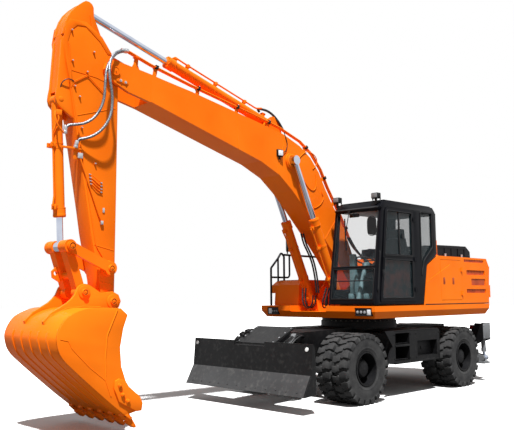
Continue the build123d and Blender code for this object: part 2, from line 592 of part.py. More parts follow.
def boom():
    """Box-section boom with a bend, a foot tube, a fork at the tip and the brackets of its cylinders."""
    upper = [(30, 1880), (300, 2440), (560, 2920), (800, 3190), (960, 3420), (1120, 3680), (1330, 3900),
             (1600, 4065), (1990, 4200),
             (2700, 4320), (3900, 4510), (4300, 4560), (4600, 4600)]
    lower = [(4600, 4225), (3500, 3945), (2500, 3690), (2080, 3520), (1780, 3300), (1500, 3050), (960, 2530),
             (700, 2260), (470, 1970), (280, 1720)]
    box = plate_y(upper + lower, BOOM_Y - BOOM_HALF, BOOM_Y + BOOM_HALF)
    foot = round_y(BOOM_FOOT, 145, BOOM_Y - 270, BOOM_Y + 270)
    # fork at the tip
    ear = [(4550, 4210), (4950, 4285), (5170, 4370), (5290, 4440), (5320, 4520), (5290, 4610), (5170, 4665),
           (5000, 4650), (4550, 4600)]
    body = box + foot
    for y in (BOOM_Y - 215, BOOM_Y + 157):
        body += plate_y(ear, y, y + 58)
    # arm cylinder's lugs on the top, boom cylinder bosses on the sides
    lug = [(1900, 4150), (2400, 4240), (2230, 4430), (2150, 4480), (2060, 4480), (1990, 4400)]
    for y in (BOOM_Y - 130, BOOM_Y + 86):
        body += plate_y(lug, y, y + 44)
    body += round_y(BOOM_CYL_EYE, 130, BOOM_Y - 250, BOOM_Y + 250)
    body -= round_y(BOOM_FOOT, 60.5, BOOM_Y - 280, BOOM_Y + 280)
    body += round_y(BOOM_TIP, 50, BOOM_Y - 225, BOOM_Y + 225)
    for y in (BOOM_Y - 219, BOOM_Y + 207):
        body += round_y(BOOM_TIP, 92, y, y + 12)
    for y in PIPE_YS:
        for side in (1, -1):
            body += tube([(x, BOOM_Y + side * y, z) for x, z in PIPE_RUN], PIPE_R, 45)
    # brackets: a post into the boom's top and a clamp plate across both pipes, square to the run
    for x in PIPE_BRACKETS:
        (x0, z0), (x1, z1) = next((a, b) for a, b in zip(PIPE_RUN[1:], PIPE_RUN) if a[0] <= x <= b[0])
        rise = (z1 - z0) / (x1 - x0)
        for side in (1, -1):
            mid = BOOM_Y + side * sum(PIPE_YS) / 2
            post = Pos(x, mid, z0 + rise * (x - x0)) * Rot(0, -degrees(atan2(rise, 1)), 0)
            body += post * Pos(0, 0, -95) * Box(60, 12, 200) + post * Box(60, 80, 12)
    return body


def arm():
    """Tapered box-section arm with the cylinder lever at its top and three pin bosses."""
    side = [(5070, 4300), (5090, 4600), (5180, 4760), (5330, 4950), (5560, 5090), (5700, 5080), (5800, 4990),
            (5880, 4790), (5830, 4500), (5760, 4180), (5480, 2690),
            (5430, 2400), (5300, 1820), (5270, 1600), (5165, 1450), (5075, 1560), (5070, 2900)]
    body = plate_y(side, BOOM_Y - ARM_HALF, BOOM_Y + ARM_HALF)
    body += round_y(BOOM_TIP, 130, BOOM_Y - ARM_HALF, BOOM_Y + ARM_HALF)
    body += round_y(BUCKET_PIN, 120, BOOM_Y - 195, BOOM_Y + 195)
    body += round_y(LEVER_PIN, 100, BOOM_Y - 195, BOOM_Y + 195)
    top_ear = [(5300, 4900), (5440, 5200), (5450, 5330), (5500, 5385), (5580, 5380), (5620, 5330),
               (5800, 5120), (5830, 4960)]
    for y in (BOOM_Y - 125, BOOM_Y + 65):
        body += plate_y(top_ear, y, y + 60)
    body -= round_y(BOOM_TIP, 50.5, BOOM_Y - 150, BOOM_Y + 150)
    body -= round_y(BUCKET_PIN, 45.5, BOOM_Y - 200, BOOM_Y + 200)
    body += round_y(LEVER_PIN, 45, BOOM_Y - 260, BOOM_Y + 260)
    base_ear = [(5650, 3800), (5750, 3850), (5900, 3930), (5965, 4000), (5960, 4080), (5900, 4130),
                (5800, 4230), (5770, 4300), (5700, 4200)]
    for y in (BOOM_Y - 115, BOOM_Y + 75):
        body += plate_y(base_ear, y, y + 40)
    return body


def levers():
    """The two side levers from the arm to the bucket cylinder's eye, on one pin."""
    k, j = LEVER_PIN, LINK_PIN
    ux, uz = (j[0] - k[0]) / reach(k, j), (j[1] - k[1]) / reach(k, j)
    half = 62
    bar_outline = [(k[0] - uz * half, k[1] + ux * half), (j[0] - uz * half, j[1] + ux * half),
                   (j[0] + uz * half, j[1] - ux * half), (k[0] + uz * half, k[1] - ux * half)]
    out = []
    for lo in (BOOM_Y - 250, BOOM_Y + 205):
        plate = plate_y(bar_outline, lo, lo + 45) + round_y(k, 85, lo, lo + 45) + round_y(j, 80, lo, lo + 45)
        out.append(plate)
    out[0] += round_y(j, 55, BOOM_Y - 285, BOOM_Y - 245) + round_y(j, 40, BOOM_Y - 210, BOOM_Y - 80)
    out[1] += round_y(j, 55, BOOM_Y + 245, BOOM_Y + 285) + round_y(j, 40, BOOM_Y + 80, BOOM_Y + 210)
    out = [o - round_y(k, 45.5, BOOM_Y - 300, BOOM_Y + 300) for o in out]
    return union(out)


def link():
    """H-shaped link from the cylinder's eye to the bucket."""
    j, q = LINK_PIN, BUCKET_LINK_PIN
    ux, uz = (q[0] - j[0]) / reach(q, j), (q[1] - j[1]) / reach(q, j)
    half = 55
    outline = [(j[0] - uz * half, j[1] + ux * half), (q[0] - uz * half, q[1] + ux * half),
               (q[0] + uz * half, q[1] - ux * half), (j[0] + uz * half, j[1] - ux * half)]
    body = None
    for lo in (BOOM_Y - 198, BOOM_Y + 75):
        cheek = plate_y(outline, lo, lo + 123) + round_y(j, 78, lo, lo + 123) + round_y(q, 78, lo, lo + 123)
        body = cheek if body is None else body + cheek
    mid = along(j, q, 0.62 * reach(j, q))
    body += round_y(mid, 50, BOOM_Y - 100, BOOM_Y + 100)
    # lifting eye on the front of the right cheek
    body += plate_y([(5600, 1830), (5700, 1800), (5790, 1850), (5800, 1930), (5740, 1990), (5640, 2010)],
                    BOOM_Y - 150, BOOM_Y - 120)
    body -= round_y(LIFTING_EYE, EYE_R, BOOM_Y - 160, BOOM_Y - 110)
    body -= round_y(j, 40.5, BOOM_Y - 300, BOOM_Y + 300)
    return body


# bucket's side profile, from the mouth's top round the back to the lip
BUCKET_BACK = [(5310, 1480), (5560, 1490), (5780, 1480), (5990, 1400), (6085, 1305), (6140, 1175),
               (6130, 1080), (6090, 975), (5995, 868), (5470, 420), (5230, 230)]


def bucket():
    """Bucket shell with ears, side cutters and wear strips; the teeth are a piece of their own."""
    inner = [(5330, 1450), (5550, 1458), (5770, 1448), (5972, 1372), (6058, 1290), (6108, 1172), (6099, 1092),
             (6063, 1000), (5975, 900), (5452, 452), (5200, 252)]
    mouth_side = [(5010, 290), (5200, 560), (5290, 800), (5310, 1020), (5270, 1240), (5210, 1400)]
    shell = plate_y(BUCKET_BACK + list(reversed(inner)), BOOM_Y - BUCKET_HALF + 10, BOOM_Y + BUCKET_HALF - 10)
    side = BUCKET_BACK + [(5040, 262)] + mouth_side
    for lo in (BOOM_Y - BUCKET_HALF, BOOM_Y + BUCKET_HALF - 28):
        shell += plate_y(side, lo, lo + 28)
    shell += plate_y([(5210, 1400), (5310, 1480), (5330, 1450), (5240, 1380)], BOOM_Y - BUCKET_HALF + 10,
                     BOOM_Y + BUCKET_HALF - 10)
    shell += plate_y([(5230, 230), (5150, 168), (5120, 190), (5200, 252)], BOOM_Y - BUCKET_HALF,
                     BOOM_Y + BUCKET_HALF)
    ear = [(5300, 1462), (5080, 1470), (5045, 1560), (5080, 1640), (5165, 1680), (5330, 1660), (5480, 1750),
           (5570, 1772), (5650, 1730),
           (5690, 1640), (5790, 1545), (5990, 1435), (6092, 1335), (6080, 1290), (5975, 1385), (5775, 1463),
           (5560, 1474)]
    for lo in (BOOM_Y - 250, BOOM_Y + 205):
        shell += plate_y(ear, lo, lo + 45)
    shell += round_y(BUCKET_PIN, 45, BOOM_Y - 268, BOOM_Y + 268)
    for lo in (BOOM_Y - 262, BOOM_Y + 250):
        shell += round_y(BUCKET_LINK_PIN, 78, lo, lo + 12) + round_y(BUCKET_PIN, 85, lo, lo + 12)
    shell += round_y(BUCKET_LINK_PIN, 42, BOOM_Y - 272, BOOM_Y - 250) + round_y(BUCKET_LINK_PIN, 42,
            BOOM_Y + 250, BOOM_Y + 272)
    # wear strips down the back, and a cutter with its three bosses at each lower corner of the mouth
    strip = [(6120, 1055), (6086, 985), (5990, 874), (5462, 424), (5290, 278), (5299, 268), (5480, 407),
             (6006, 857), (6106, 968)]
    for n in range(-2, 3):
        shell += plate_y(strip, BOOM_Y + 212 * n - 30, BOOM_Y + 212 * n + 30)
    cutter = [(5330, 664), (5250, 640), (5195, 560), (5035, 430), (4995, 350), (5010, 262), (5080, 262),
              (5210, 330), (5330, 400), (5400, 560), (5385, 640)]
    for s in (1, -1):
        inner, outer = BOOM_Y + s * BUCKET_HALF, BOOM_Y + s * (BUCKET_HALF + 26)
        shell += plate_y(cutter, min(inner, outer), max(inner, outer))
        for spot in ((5330, 590), (5290, 480), (5215, 400)):
            far = BOOM_Y + s * (BUCKET_HALF + 44)
            shell += round_y(spot, 24, min(outer, far), max(outer, far))
    return shell


TOOTH_YS = [-575, -345, -115, 115, 345, 575]


def bucket_teeth():
    teeth = []
    for y in TOOTH_YS:
        profile = [(5225, 300), (5245, 215), (5070, 66), (5048, 78), (5150, 240)]
        teeth.append(plate_y(profile, BOOM_Y + y - 45, BOOM_Y + y + 45))
    shell = bucket()
    return union([tooth - shell for tooth in teeth])


# ---- build --------------------------------------------------------------------------------------------
def build():
    nodes = {}
    nodes["chassis_frame"] = chassis_frame()
    nodes["side_boxes"] = union([side_box(1), side_box(-1)])
    nodes["axles"] = axles()
    for side, name in ((1, "left"), (-1, "right")):
        nodes[f"knuckle_{name}"] = knuckle(side)
        for x, end in ((FRONT_X, "front"), (REAR_X, "rear")):
            tyres, rims = wheel(x, side)
            nodes[f"tyres_{end}_{name}"] = tyres
            nodes[f"hub_{end}_{name}"] = rims
    nodes["blade"] = blade()
    barrel, rod = cylinder_pair(BLADE_CYL_BASE, BLADE_CYL_EYE, 430, 48, 28, 90, 120, BLADE_CYL_Y)
    nodes["blade_cylinder_barrels"] = mirrored(barrel)
    nodes["blade_cylinder_rods"] = mirrored(rod)
    for side, name in ((1, "left"), (-1, "right")):
        nodes[f"stabiliser_leg_{name}"] = stabiliser_leg(side)
        barrel, rod = cylinder_pair(STAB_CYL_BASE, STAB_CYL_EYE, 462, 42, 25, 94, 70, across=True)
        if side < 0:
            barrel, rod = mirror(barrel, Plane.XZ), mirror(rod, Plane.XZ)
        nodes[f"stabiliser_barrel_{name}"] = barrel
        nodes[f"stabiliser_rod_{name}"] = rod
    nodes["deck"] = deck()
    nodes["cab_shell"] = cab_shell()
    nodes["cab_glass"] = cab_glass()
    nodes["cab_interior"] = cab_interior()
    nodes["cab_door"] = cab_door()
    nodes["door_glass"] = door_glass()
    nodes["engine_housing"] = engine_housing()
    nodes["hood_lid"] = hood_lid()
    nodes["side_door_left"] = side_door(1)
    nodes["side_door_right"] = side_door(-1)
    nodes["counterweight"] = counterweight()
    nodes["right_box"] = right_box()
    nodes["handrails"] = handrails()
    nodes["mirrors"] = mirrors()
    nodes["lamps"] = lamps()
    nodes["engine"] = engine()
    nodes["boom"] = boom()
    barrel, rod = cylinder_pair(BOOM_CYL_BASE, BOOM_CYL_EYE, 1555, 74, 45, 100, 660, BOOM_CYL_Y)
    nodes["boom_cylinder_barrels"] = Pos(0, BOOM_Y, 0) * mirrored(barrel)
    nodes["boom_cylinder_rods"] = Pos(0, BOOM_Y, 0) * mirrored(rod)
    barrel, rod = cylinder_pair(ARM_CYL_BASE, ARM_CYL_EYE, 2150, 76, 45, 110, 1400, BOOM_Y)
    nodes["arm_cylinder_barrel"], nodes["arm_cylinder_rod"] = barrel, rod
    nodes["arm"] = arm()
    barrel, rod = cylinder_pair(BUCKET_CYL_BASE, LINK_PIN, 1440, 66, 40, 110, 290, BOOM_Y)
    nodes["bucket_cylinder_barrel"], nodes["bucket_cylinder_rod"] = barrel, rod
    nodes["levers"] = levers()
    nodes["link"] = link()
    nodes["bucket"] = bucket()
    nodes["bucket_teeth"] = bucket_teeth()
    return nodes


def main():
    os.makedirs("parts", exist_ok=True)
    for name, shape in build().items():
        export_step(Pos(SLEW_X, 0, 0) * shape, f"parts/{name}.step")


main()
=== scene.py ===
"""Looks of a wheeled excavator: finishes, tyres, pipes, hoses, glazing trim, bolts, camera and light,
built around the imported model. Metres; +X is forward, +Y is left and +Z is up."""

import json
from math import atan, cos, pi, radians, sin

import bpy
from mathutils import Matrix, Vector


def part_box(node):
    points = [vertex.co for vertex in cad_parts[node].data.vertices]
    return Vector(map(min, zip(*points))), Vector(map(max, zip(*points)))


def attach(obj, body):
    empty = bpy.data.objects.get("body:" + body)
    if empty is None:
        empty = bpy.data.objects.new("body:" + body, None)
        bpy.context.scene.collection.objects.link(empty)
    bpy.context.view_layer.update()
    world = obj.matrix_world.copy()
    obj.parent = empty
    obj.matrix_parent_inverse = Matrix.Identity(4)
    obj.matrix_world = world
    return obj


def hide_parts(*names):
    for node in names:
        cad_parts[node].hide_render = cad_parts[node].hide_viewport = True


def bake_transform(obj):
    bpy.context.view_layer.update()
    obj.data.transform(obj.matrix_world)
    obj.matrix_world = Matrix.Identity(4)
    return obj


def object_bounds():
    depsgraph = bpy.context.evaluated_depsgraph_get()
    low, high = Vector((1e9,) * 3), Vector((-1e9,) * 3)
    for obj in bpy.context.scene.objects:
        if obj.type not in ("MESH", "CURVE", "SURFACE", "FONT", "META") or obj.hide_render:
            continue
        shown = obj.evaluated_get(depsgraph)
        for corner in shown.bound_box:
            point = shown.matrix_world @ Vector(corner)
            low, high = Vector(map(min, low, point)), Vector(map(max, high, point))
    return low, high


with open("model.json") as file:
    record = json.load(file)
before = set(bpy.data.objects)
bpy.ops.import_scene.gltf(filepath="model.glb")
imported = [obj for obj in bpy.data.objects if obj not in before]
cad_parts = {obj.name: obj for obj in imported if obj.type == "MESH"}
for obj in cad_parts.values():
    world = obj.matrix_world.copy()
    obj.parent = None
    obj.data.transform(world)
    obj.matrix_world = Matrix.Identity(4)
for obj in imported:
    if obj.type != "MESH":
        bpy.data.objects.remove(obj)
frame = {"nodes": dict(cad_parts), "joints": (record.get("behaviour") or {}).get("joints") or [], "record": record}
cad_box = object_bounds()
joints = {joint["name"]: joint for joint in frame["joints"]}


def pin(name):
    """Where a joint's axis stands."""
    return Vector(joints[name]["pos_m"])


SLEW_X = pin("swing").x
BOOM_Y = pin("boom_lift").y
AXLE_Z = pin("wheel_front_left_spin").z
FRONT_X, REAR_X = pin("wheel_front_left_spin").x - SLEW_X, pin("wheel_rear_left_spin").x - SLEW_X


def at(x, y, z):
    """A place measured from the slewing axis on the ground."""
    return Vector((x + SLEW_X, y, z))


def line(*places):
    return [at(*place) for place in places]


# ---- finishes -----------------------------------------------------------------------------------------
def tone(red, green, blue):
    """A paint-chart colour, 0 to 255 a channel, as the shader wants it."""
    def channel(value):
        value /= 255
        return value / 12.92 if value <= 0.04045 else ((value + 0.055) / 1.055) ** 2.4
    return channel(red), channel(green), channel(blue), 1.0


def finish(name, deep, pale, drift=1.5, gloss=(0.3, 0.45), grain=300.0, relief=0.0003, dust=None, **shader):
    """A finish whose tone drifts over patches and whose grain shows in its gloss and its relief.
    Dust, where given, is a colour that settles in patches."""
    made = bpy.data.materials.new(name)
    made.use_nodes = True
    nodes, links = made.node_tree.nodes, made.node_tree.links
    principled = nodes["Principled BSDF"]
    place = nodes.new("ShaderNodeTexCoord")

    patches = nodes.new("ShaderNodeTexNoise")
    patches.inputs["Scale"].default_value = drift
    patches.inputs["Detail"].default_value = 4.0
    links.new(place.outputs["Object"], patches.inputs["Vector"])
    colours = nodes.new("ShaderNodeValToRGB")
    colours.color_ramp.elements[0].position, colours.color_ramp.elements[0].color = 0.35, deep
    colours.color_ramp.elements[1].position, colours.color_ramp.elements[1].color = 0.65, pale
    links.new(patches.outputs["Fac"], colours.inputs["Fac"])
    last = colours.outputs["Color"]
    if dust:
        spots = nodes.new("ShaderNodeTexNoise")
        spots.inputs["Scale"].default_value = drift * 7
        spots.inputs["Detail"].default_value = 8.0
        links.new(place.outputs["Object"], spots.inputs["Vector"])
        where = nodes.new("ShaderNodeMapRange")
        where.inputs["From Min"].default_value, where.inputs["From Max"].default_value = 0.52, 0.78
        where.inputs["To Max"].default_value = 0.6
        links.new(spots.outputs["Fac"], where.inputs["Value"])
        over = nodes.new("ShaderNodeMix")
        over.data_type = "RGBA"
        over.inputs["B"].default_value = dust
        links.new(where.outputs["Result"], over.inputs["Factor"])
        links.new(last, over.inputs["A"])
        last = over.outputs["Result"]
    links.new(last, principled.inputs["Base Color"])

    fine = nodes.new("ShaderNodeTexNoise")
    fine.inputs["Scale"].default_value = grain
    fine.inputs["Detail"].default_value = 2.0
    links.new(place.outputs["Object"], fine.inputs["Vector"])
    shine = nodes.new("ShaderNodeMapRange")
    shine.inputs["To Min"].default_value, shine.inputs["To Max"].default_value = gloss
    links.new(fine.outputs["Fac"], shine.inputs["Value"])
    links.new(shine.outputs["Result"], principled.inputs["Roughness"])
    bump = nodes.new("ShaderNodeBump")
    bump.inputs["Strength"].default_value = 0.4
    bump.inputs["Distance"].default_value = relief
    links.new(fine.outputs["Fac"], bump.inputs["Height"])
    links.new(bump.outputs["Normal"], principled.inputs["Normal"])
    for socket, value in shader.items():
        principled.inputs[socket.replace("_", " ")].default_value = value
    return made


def braid(name, deep, pale):
    """Woven steel over a hose: two crossing sets of wires wound round it."""
    made = finish(name, deep, pale, drift=60.0, gloss=(0.3, 0.5), Metallic=0.85)
    nodes, links = made.node_tree.nodes, made.node_tree.links
    place = nodes["Texture Coordinate"]
    bump = nodes["Bump"]
    weave = []
    for turn in (45, -45):
        lean = nodes.new("ShaderNodeMapping")
        lean.inputs["Rotation"].default_value = (0.0, radians(turn), radians(turn))
        links.new(place.outputs["Object"], lean.inputs["Vector"])
        wires = nodes.new("ShaderNodeTexWave")
        wires.inputs["Scale"].default_value = 60.0
        links.new(lean.outputs["Vector"], wires.inputs["Vector"])
        weave.append(wires)
    over = nodes.new("ShaderNodeMath")
    over.operation = "MAXIMUM"
    for slot, wires in enumerate(weave):
        links.new(wires.outputs["Fac"], over.inputs[slot])
    links.new(over.outputs["Value"], bump.inputs["Height"])
    bump.inputs["Distance"].default_value = 0.0015
    return made


ORANGE = finish("orange_enamel", tone(247, 112, 14), tone(255, 126, 22), drift=0.9, gloss=(0.30, 0.42),
                relief=0.0002,
                Specular_IOR_Level=0.05, Coat_Weight=0.01, Coat_Roughness=0.12)
# the body orange darkened: painted shade, for the grille slats, the sheet behind them and the side door latches
SHADED_ORANGE = finish("grille_painted_shade", tone(150, 58, 24), tone(176, 72, 30), drift=6.0, gloss=(0.5, 0.65),
                       relief=0.0004)
CHARCOAL = finish("undercarriage_charcoal", tone(13, 13, 14), tone(21, 21, 23), drift=2.0, gloss=(0.42, 0.58),
                  relief=0.0004, dust=tone(42, 41, 40), Specular_IOR_Level=0.18)
BLADE_DARK = finish("blade_dark", tone(15, 15, 16), tone(24, 24, 25), drift=2.4, gloss=(0.45, 0.6),
                    grain=140.0,
                    relief=0.0005, dust=tone(54, 53, 52), Specular_IOR_Level=0.2)
# the blade's dark paint lightened to grey: painted light on the lower face and wear edge, which turn up to the
# sun; dust settles in patches
BLADE_GREY_PAINTED_LIGHT = finish("blade_grey_painted_light", tone(40, 40, 41), tone(52, 52, 53), drift=2.4, gloss=(0.45, 0.6),
                    grain=140.0,
                    relief=0.0005, dust=tone(86, 85, 83))
CAB_BLACK = finish("cab_black", tone(9, 10, 14), tone(16, 17, 22), drift=1.6, gloss=(0.26, 0.38),
                   relief=0.0002,
                   Specular_IOR_Level=0.07, Coat_Weight=0.02, Coat_Roughness=0.1)
COVER_GREY = finish("cover_grey", tone(106, 108, 110), tone(120, 122, 124), drift=2.0, gloss=(0.42, 0.55),
                    dust=tone(100, 98, 95))
RUBBER = finish("tyre_rubber", tone(46, 46, 47), tone(62, 62, 62), drift=7.0, gloss=(0.72, 0.9), grain=90.0,
                relief=0.0012, dust=tone(76, 74, 72), Specular_IOR_Level=0.2)
TRIM = finish("black_trim", tone(16, 16, 18), tone(26, 26, 28), drift=9.0, gloss=(0.5, 0.7), grain=420.0,
              Specular_IOR_Level=0.25)
HOSE_BLACK = finish("hose_black", tone(16, 16, 18), tone(26, 26, 28), drift=30.0, gloss=(0.38, 0.5),
                    grain=500.0)
# chrome with a blue cast: the blue is painted reflection of sky; the mirror shine is the metal's own
CHROME = finish("hard_chrome_painted_reflection", tone(188, 196, 214), tone(206, 212, 226), drift=5.0, gloss=(0.08, 0.16),
                grain=200.0,
                relief=0.00005, Metallic=1.0)
ZINC = finish("zinc_plate", tone(176, 178, 182), tone(206, 207, 210), drift=30.0, gloss=(0.25, 0.42),
              grain=240.0,
              Metallic=0.9)
BRAIDED = braid("braided_steel", tone(92, 96, 102), tone(146, 149, 154))
PIN_STEEL = finish("pin_steel", tone(96, 92, 90), tone(128, 122, 116), drift=20.0, gloss=(0.32, 0.5),
                   Metallic=0.8)
DOOR_LINING = finish("door_lining", tone(16, 20, 17), tone(128, 56, 38), drift=9.0, gloss=(0.5, 0.7),
                     Specular_IOR_Level=0.2)
IRON = finish("engine_iron", tone(62, 64, 68), tone(84, 86, 90), drift=4.0, gloss=(0.5, 0.7), grain=120.0,
              relief=0.001)
PANEL_TEAL = finish("cab_lining", tone(84, 112, 116), tone(104, 134, 138), drift=6.0, gloss=(0.5, 0.66),
                    grain=500.0)
SEAT_CLOTH = finish("seat_cloth", tone(38, 46, 52), tone(56, 66, 72), drift=14.0, gloss=(0.8, 0.95),
                    grain=700.0,
                    relief=0.0012, Sheen_Weight=0.3)
# tinted glass, darkened further to stand for the cab's dim inside: part real tint, part painted shade
GLASS = finish("tinted_glass_painted_shade", tone(30, 42, 46), tone(38, 52, 56), drift=1.0, gloss=(0.02, 0.05),
               relief=0.00002,
               Alpha=0.40, Specular_IOR_Level=0.3)
CLEAR_GLASS = finish("clear_glass", tone(90, 98, 102), tone(100, 110, 114), drift=1.0, gloss=(0.02, 0.05),
                     relief=0.00002, Alpha=0.08, Specular_IOR_Level=0.3)
LENS = finish("lamp_lens", tone(205, 208, 214), tone(236, 238, 240), drift=40.0, gloss=(0.08, 0.2),
              grain=160.0,
              relief=0.002, Coat_Weight=0.5)
REFLECTOR = finish("red_lens", tone(150, 18, 16), tone(186, 28, 22), drift=30.0, gloss=(0.12, 0.25),
                   grain=160.0, relief=0.0004)
TINTED_LENS = finish("lamp_reflector", tone(120, 122, 128), tone(170, 172, 176), drift=40.0, gloss=(0.1, 0.2),
                     grain=160.0)
WHITE_MARK = finish("white_enamel", tone(206, 206, 204), tone(232, 232, 230), drift=30.0, gloss=(0.35, 0.5))
FINISH_OF = {"orange": ORANGE, "charcoal": CHARCOAL, "black_paint": CAB_BLACK, "mid_grey": COVER_GREY,
             "chrome": CHROME,
             "tyre": RUBBER, "glass": CLEAR_GLASS, "trim": TRIM, "lamp": TRIM, "iron": IRON}


def dress_nodes():
    """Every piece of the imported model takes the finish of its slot, and a few take their own."""
    # the door glass takes the tinted glass that carries painted shade of the cab's inside
    own = {"blade": BLADE_DARK, "door_glass": GLASS, "cab_interior": PANEL_TEAL}
    for part in frame["record"]["subparts"]:
        shown = frame["nodes"][part["node"]]
        shown.data.materials.clear()
        shown.data.materials.append(own.get(part["node"], FINISH_OF[part["material_slot"]]))


# ---- modelling ----------------------------------------------------------------------------------------
def clear_selection():
    if bpy.context.object and bpy.context.object.mode != "OBJECT":
        bpy.ops.object.mode_set(mode="OBJECT")
    bpy.ops.object.select_all(action="DESELECT")


def take(piece):
    clear_selection()
    piece.select_set(True)
    bpy.context.view_layer.objects.active = piece
    return piece


def settle(piece):
    """Puts a piece's place, turn and size into its mesh."""
    take(piece)
    bpy.ops.object.transform_apply(location=True, rotation=True, scale=True)
    return piece


def work(piece, kind, **settings):
    take(piece)
    bpy.ops.object.modifier_add(type=kind)
    tool = piece.modifiers[-1]
    for setting, value in settings.items():
        setattr(tool, setting, value)
    bpy.ops.object.modifier_apply(modifier=tool.name)
    return piece


def soften(piece, width, segments=2):
    return work(piece, "BEVEL", width=width, segments=segments, limit_method="ANGLE", angle_limit=radians(35))


def outward(piece):
    take(piece)
    bpy.ops.object.mode_set(mode="EDIT")
    bpy.ops.mesh.select_all(action="SELECT")
    bpy.ops.mesh.remove_doubles(threshold=0.00002)
    bpy.ops.mesh.normals_make_consistent(inside=False)
    bpy.ops.object.mode_set(mode="OBJECT")
    return piece


def slab(low, high, edge=0.004, segments=2):
    """A block between two corners with rounded edges."""
    clear_selection()
    low, high = Vector(low), Vector(high)
    bpy.ops.mesh.primitive_cube_add(size=1, location=(low + high) / 2, scale=[abs(s) for s in high - low])
    return soften(settle(bpy.context.object), edge, segments)


def side_slab(side, x0, near, z0, x1, far, z1, edge=0.003):
    """A slab on one side of the machine, between two distances from its middle."""
    lo, hi = sorted((side * near, side * far))
    return slab(at(x0, lo, z0), at(x1, hi, z1), edge)


def stick(start, end, radius, sides=20, edge=0.0, far_radius=None):
    """A round bar from one place to another."""
    clear_selection()
    run = end - start
    if far_radius is None:
        bpy.ops.mesh.primitive_cylinder_add(vertices=sides, radius=radius, depth=run.length,
                                            location=(start + end) / 2)
    else:
        bpy.ops.mesh.primitive_cone_add(vertices=sides, radius1=radius, radius2=far_radius, depth=run.length,
                                        location=(start + end) / 2)
    bar = bpy.context.object
    bar.rotation_euler = run.to_track_quat("Z", "Y").to_euler()
    settle(bar)
    return soften(bar, edge) if edge else bar


TURNS = {"x": (pi / 2, 0.0, pi / 2), "y": (pi / 2, 0.0, 0.0), "z": (0.0, 0.0, 0.0)}


def turning(outline):
    """Twice the area inside an outline, positive where it runs anticlockwise."""
    return sum(u0 * v1 - u1 * v0 for (u0, v0), (u1, v1) in zip(outline, outline[1:] + outline[:1]))


def plate(outline, facing, low, high, edge=0.002, holes=()):
    """A flat plate cut to an outline, facing x, y or z, between two planes, with holes cut through it.
    Outlines read in the other two axes, in order."""
    drawn = bpy.data.curves.new("outline", "CURVE")
    drawn.dimensions, drawn.fill_mode = "2D", "BOTH"
    for number, cut in enumerate([outline, *holes]):
        cut = list(cut)
        if (turning(cut) > 0) == (number > 0):
            cut.reverse()
        run = drawn.splines.new("POLY")
        run.points.add(len(cut) - 1)
        for corner, (u, v) in zip(run.points, cut):
            corner.co = (u, v, 0.0, 1.0)
        run.use_cyclic_u = True
    drawn.extrude = max((high - low) / 2 - edge, 0.0001)
    drawn.bevel_depth, drawn.offset, drawn.bevel_resolution = edge, -edge, 1
    piece = bpy.data.objects.new("outline", drawn)
    bpy.context.scene.collection.objects.link(piece)
    piece.rotation_euler = TURNS[facing]
    middle = (low + high) / 2
    piece.location = {"x": (middle, 0, 0), "y": (0, middle, 0), "z": (0, 0, middle)}[facing]
    take(piece)
    bpy.ops.object.convert(target="MESH")
    return outward(settle(bpy.context.object))


def from_slew(outline):
    """An outline in X and something else, drawn from the slewing axis."""
    return [(x + SLEW_X, v) for x, v in outline]


def tube(points, radius, sides=4, smooth=3):
    """A pipe or hose along a smooth run through its corner points."""
    drawn = bpy.data.curves.new("run", "CURVE")
    drawn.dimensions = "3D"
    run = drawn.splines.new("NURBS")
    run.points.add(len(points) - 1)
    for corner, place in zip(run.points, points):
        corner.co = (*place, 1.0)
    run.order_u, run.use_endpoint_u, run.resolution_u = smooth, True, 8
    drawn.bevel_depth, drawn.bevel_resolution, drawn.use_fill_caps = radius, sides, True
    piece = bpy.data.objects.new("run", drawn)
    bpy.context.scene.collection.objects.link(piece)
    take(piece)
    bpy.ops.object.convert(target="MESH")
    return outward(bpy.context.object)


def hard_pipe(points, radius, bend=0.06, sides=4):
    """A bent metal pipe: straight runs with a tight bend near each corner."""
    run = [points[0]]
    for before, corner, after in zip(points, points[1:], points[2:]):
        run.append(corner + (before - corner).normalized() * min(bend, (before - corner).length * 0.45))
        run.append(corner)
        run.append(corner + (after - corner).normalized() * min(bend, (after - corner).length * 0.45))
    return tube(run + [points[-1]], radius, sides)


def copied(piece, moves):
    """The piece, and a copy of its mesh at every move, joined."""
    twins = []
    for move in moves:
        twin = piece.copy()
        twin.data = piece.data.copy()
        bpy.context.scene.collection.objects.link(twin)
        twin.matrix_world = move if isinstance(move, Matrix) else Matrix.Translation(move)
        twins.append(twin)
    bpy.data.objects.remove(piece)
    return joined(twins)


def joined(pieces):
    clear_selection()
    for piece in pieces:
        piece.select_set(True)
    bpy.context.view_layer.objects.active = pieces[0]
    if len(pieces) > 1:
        bpy.ops.object.join()
    return settle(bpy.context.object)


def fit(piece, name, body, made_of, instead_of=(), angle=35):
    """A finished piece: its name, its finish, the body that carries it and the nodes it stands for."""
    settle(piece)
    bpy.ops.object.shade_smooth_by_angle(angle=radians(angle))
    piece.name = piece.data.name = name
    piece.data.materials.clear()
    piece.data.materials.append(made_of)
    if body:
        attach(piece, body)
    if instead_of:
        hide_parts(*instead_of)
    return piece


def bolts(name, body, places, axis, radius=0.014, made_of=None):
    """Hexagon bolt heads on washers, facing along an axis, one at each place."""
    axis = Vector(axis)
    head = stick(Vector((0, 0, 0)), Vector((0, 0, radius * 0.9)), radius, sides=6, edge=radius * 0.12)
    washer = stick(Vector((0, 0, -radius * 0.1)), Vector((0, 0, radius * 0.2)), radius * 1.45, sides=16)
    bolt = joined([head, washer])
    turn = axis.to_track_quat("Z", "Y").to_matrix().to_4x4()
    return fit(copied(bolt, [Matrix.Translation(place) @ turn for place in places]), name, body,
               made_of or PIN_STEEL)


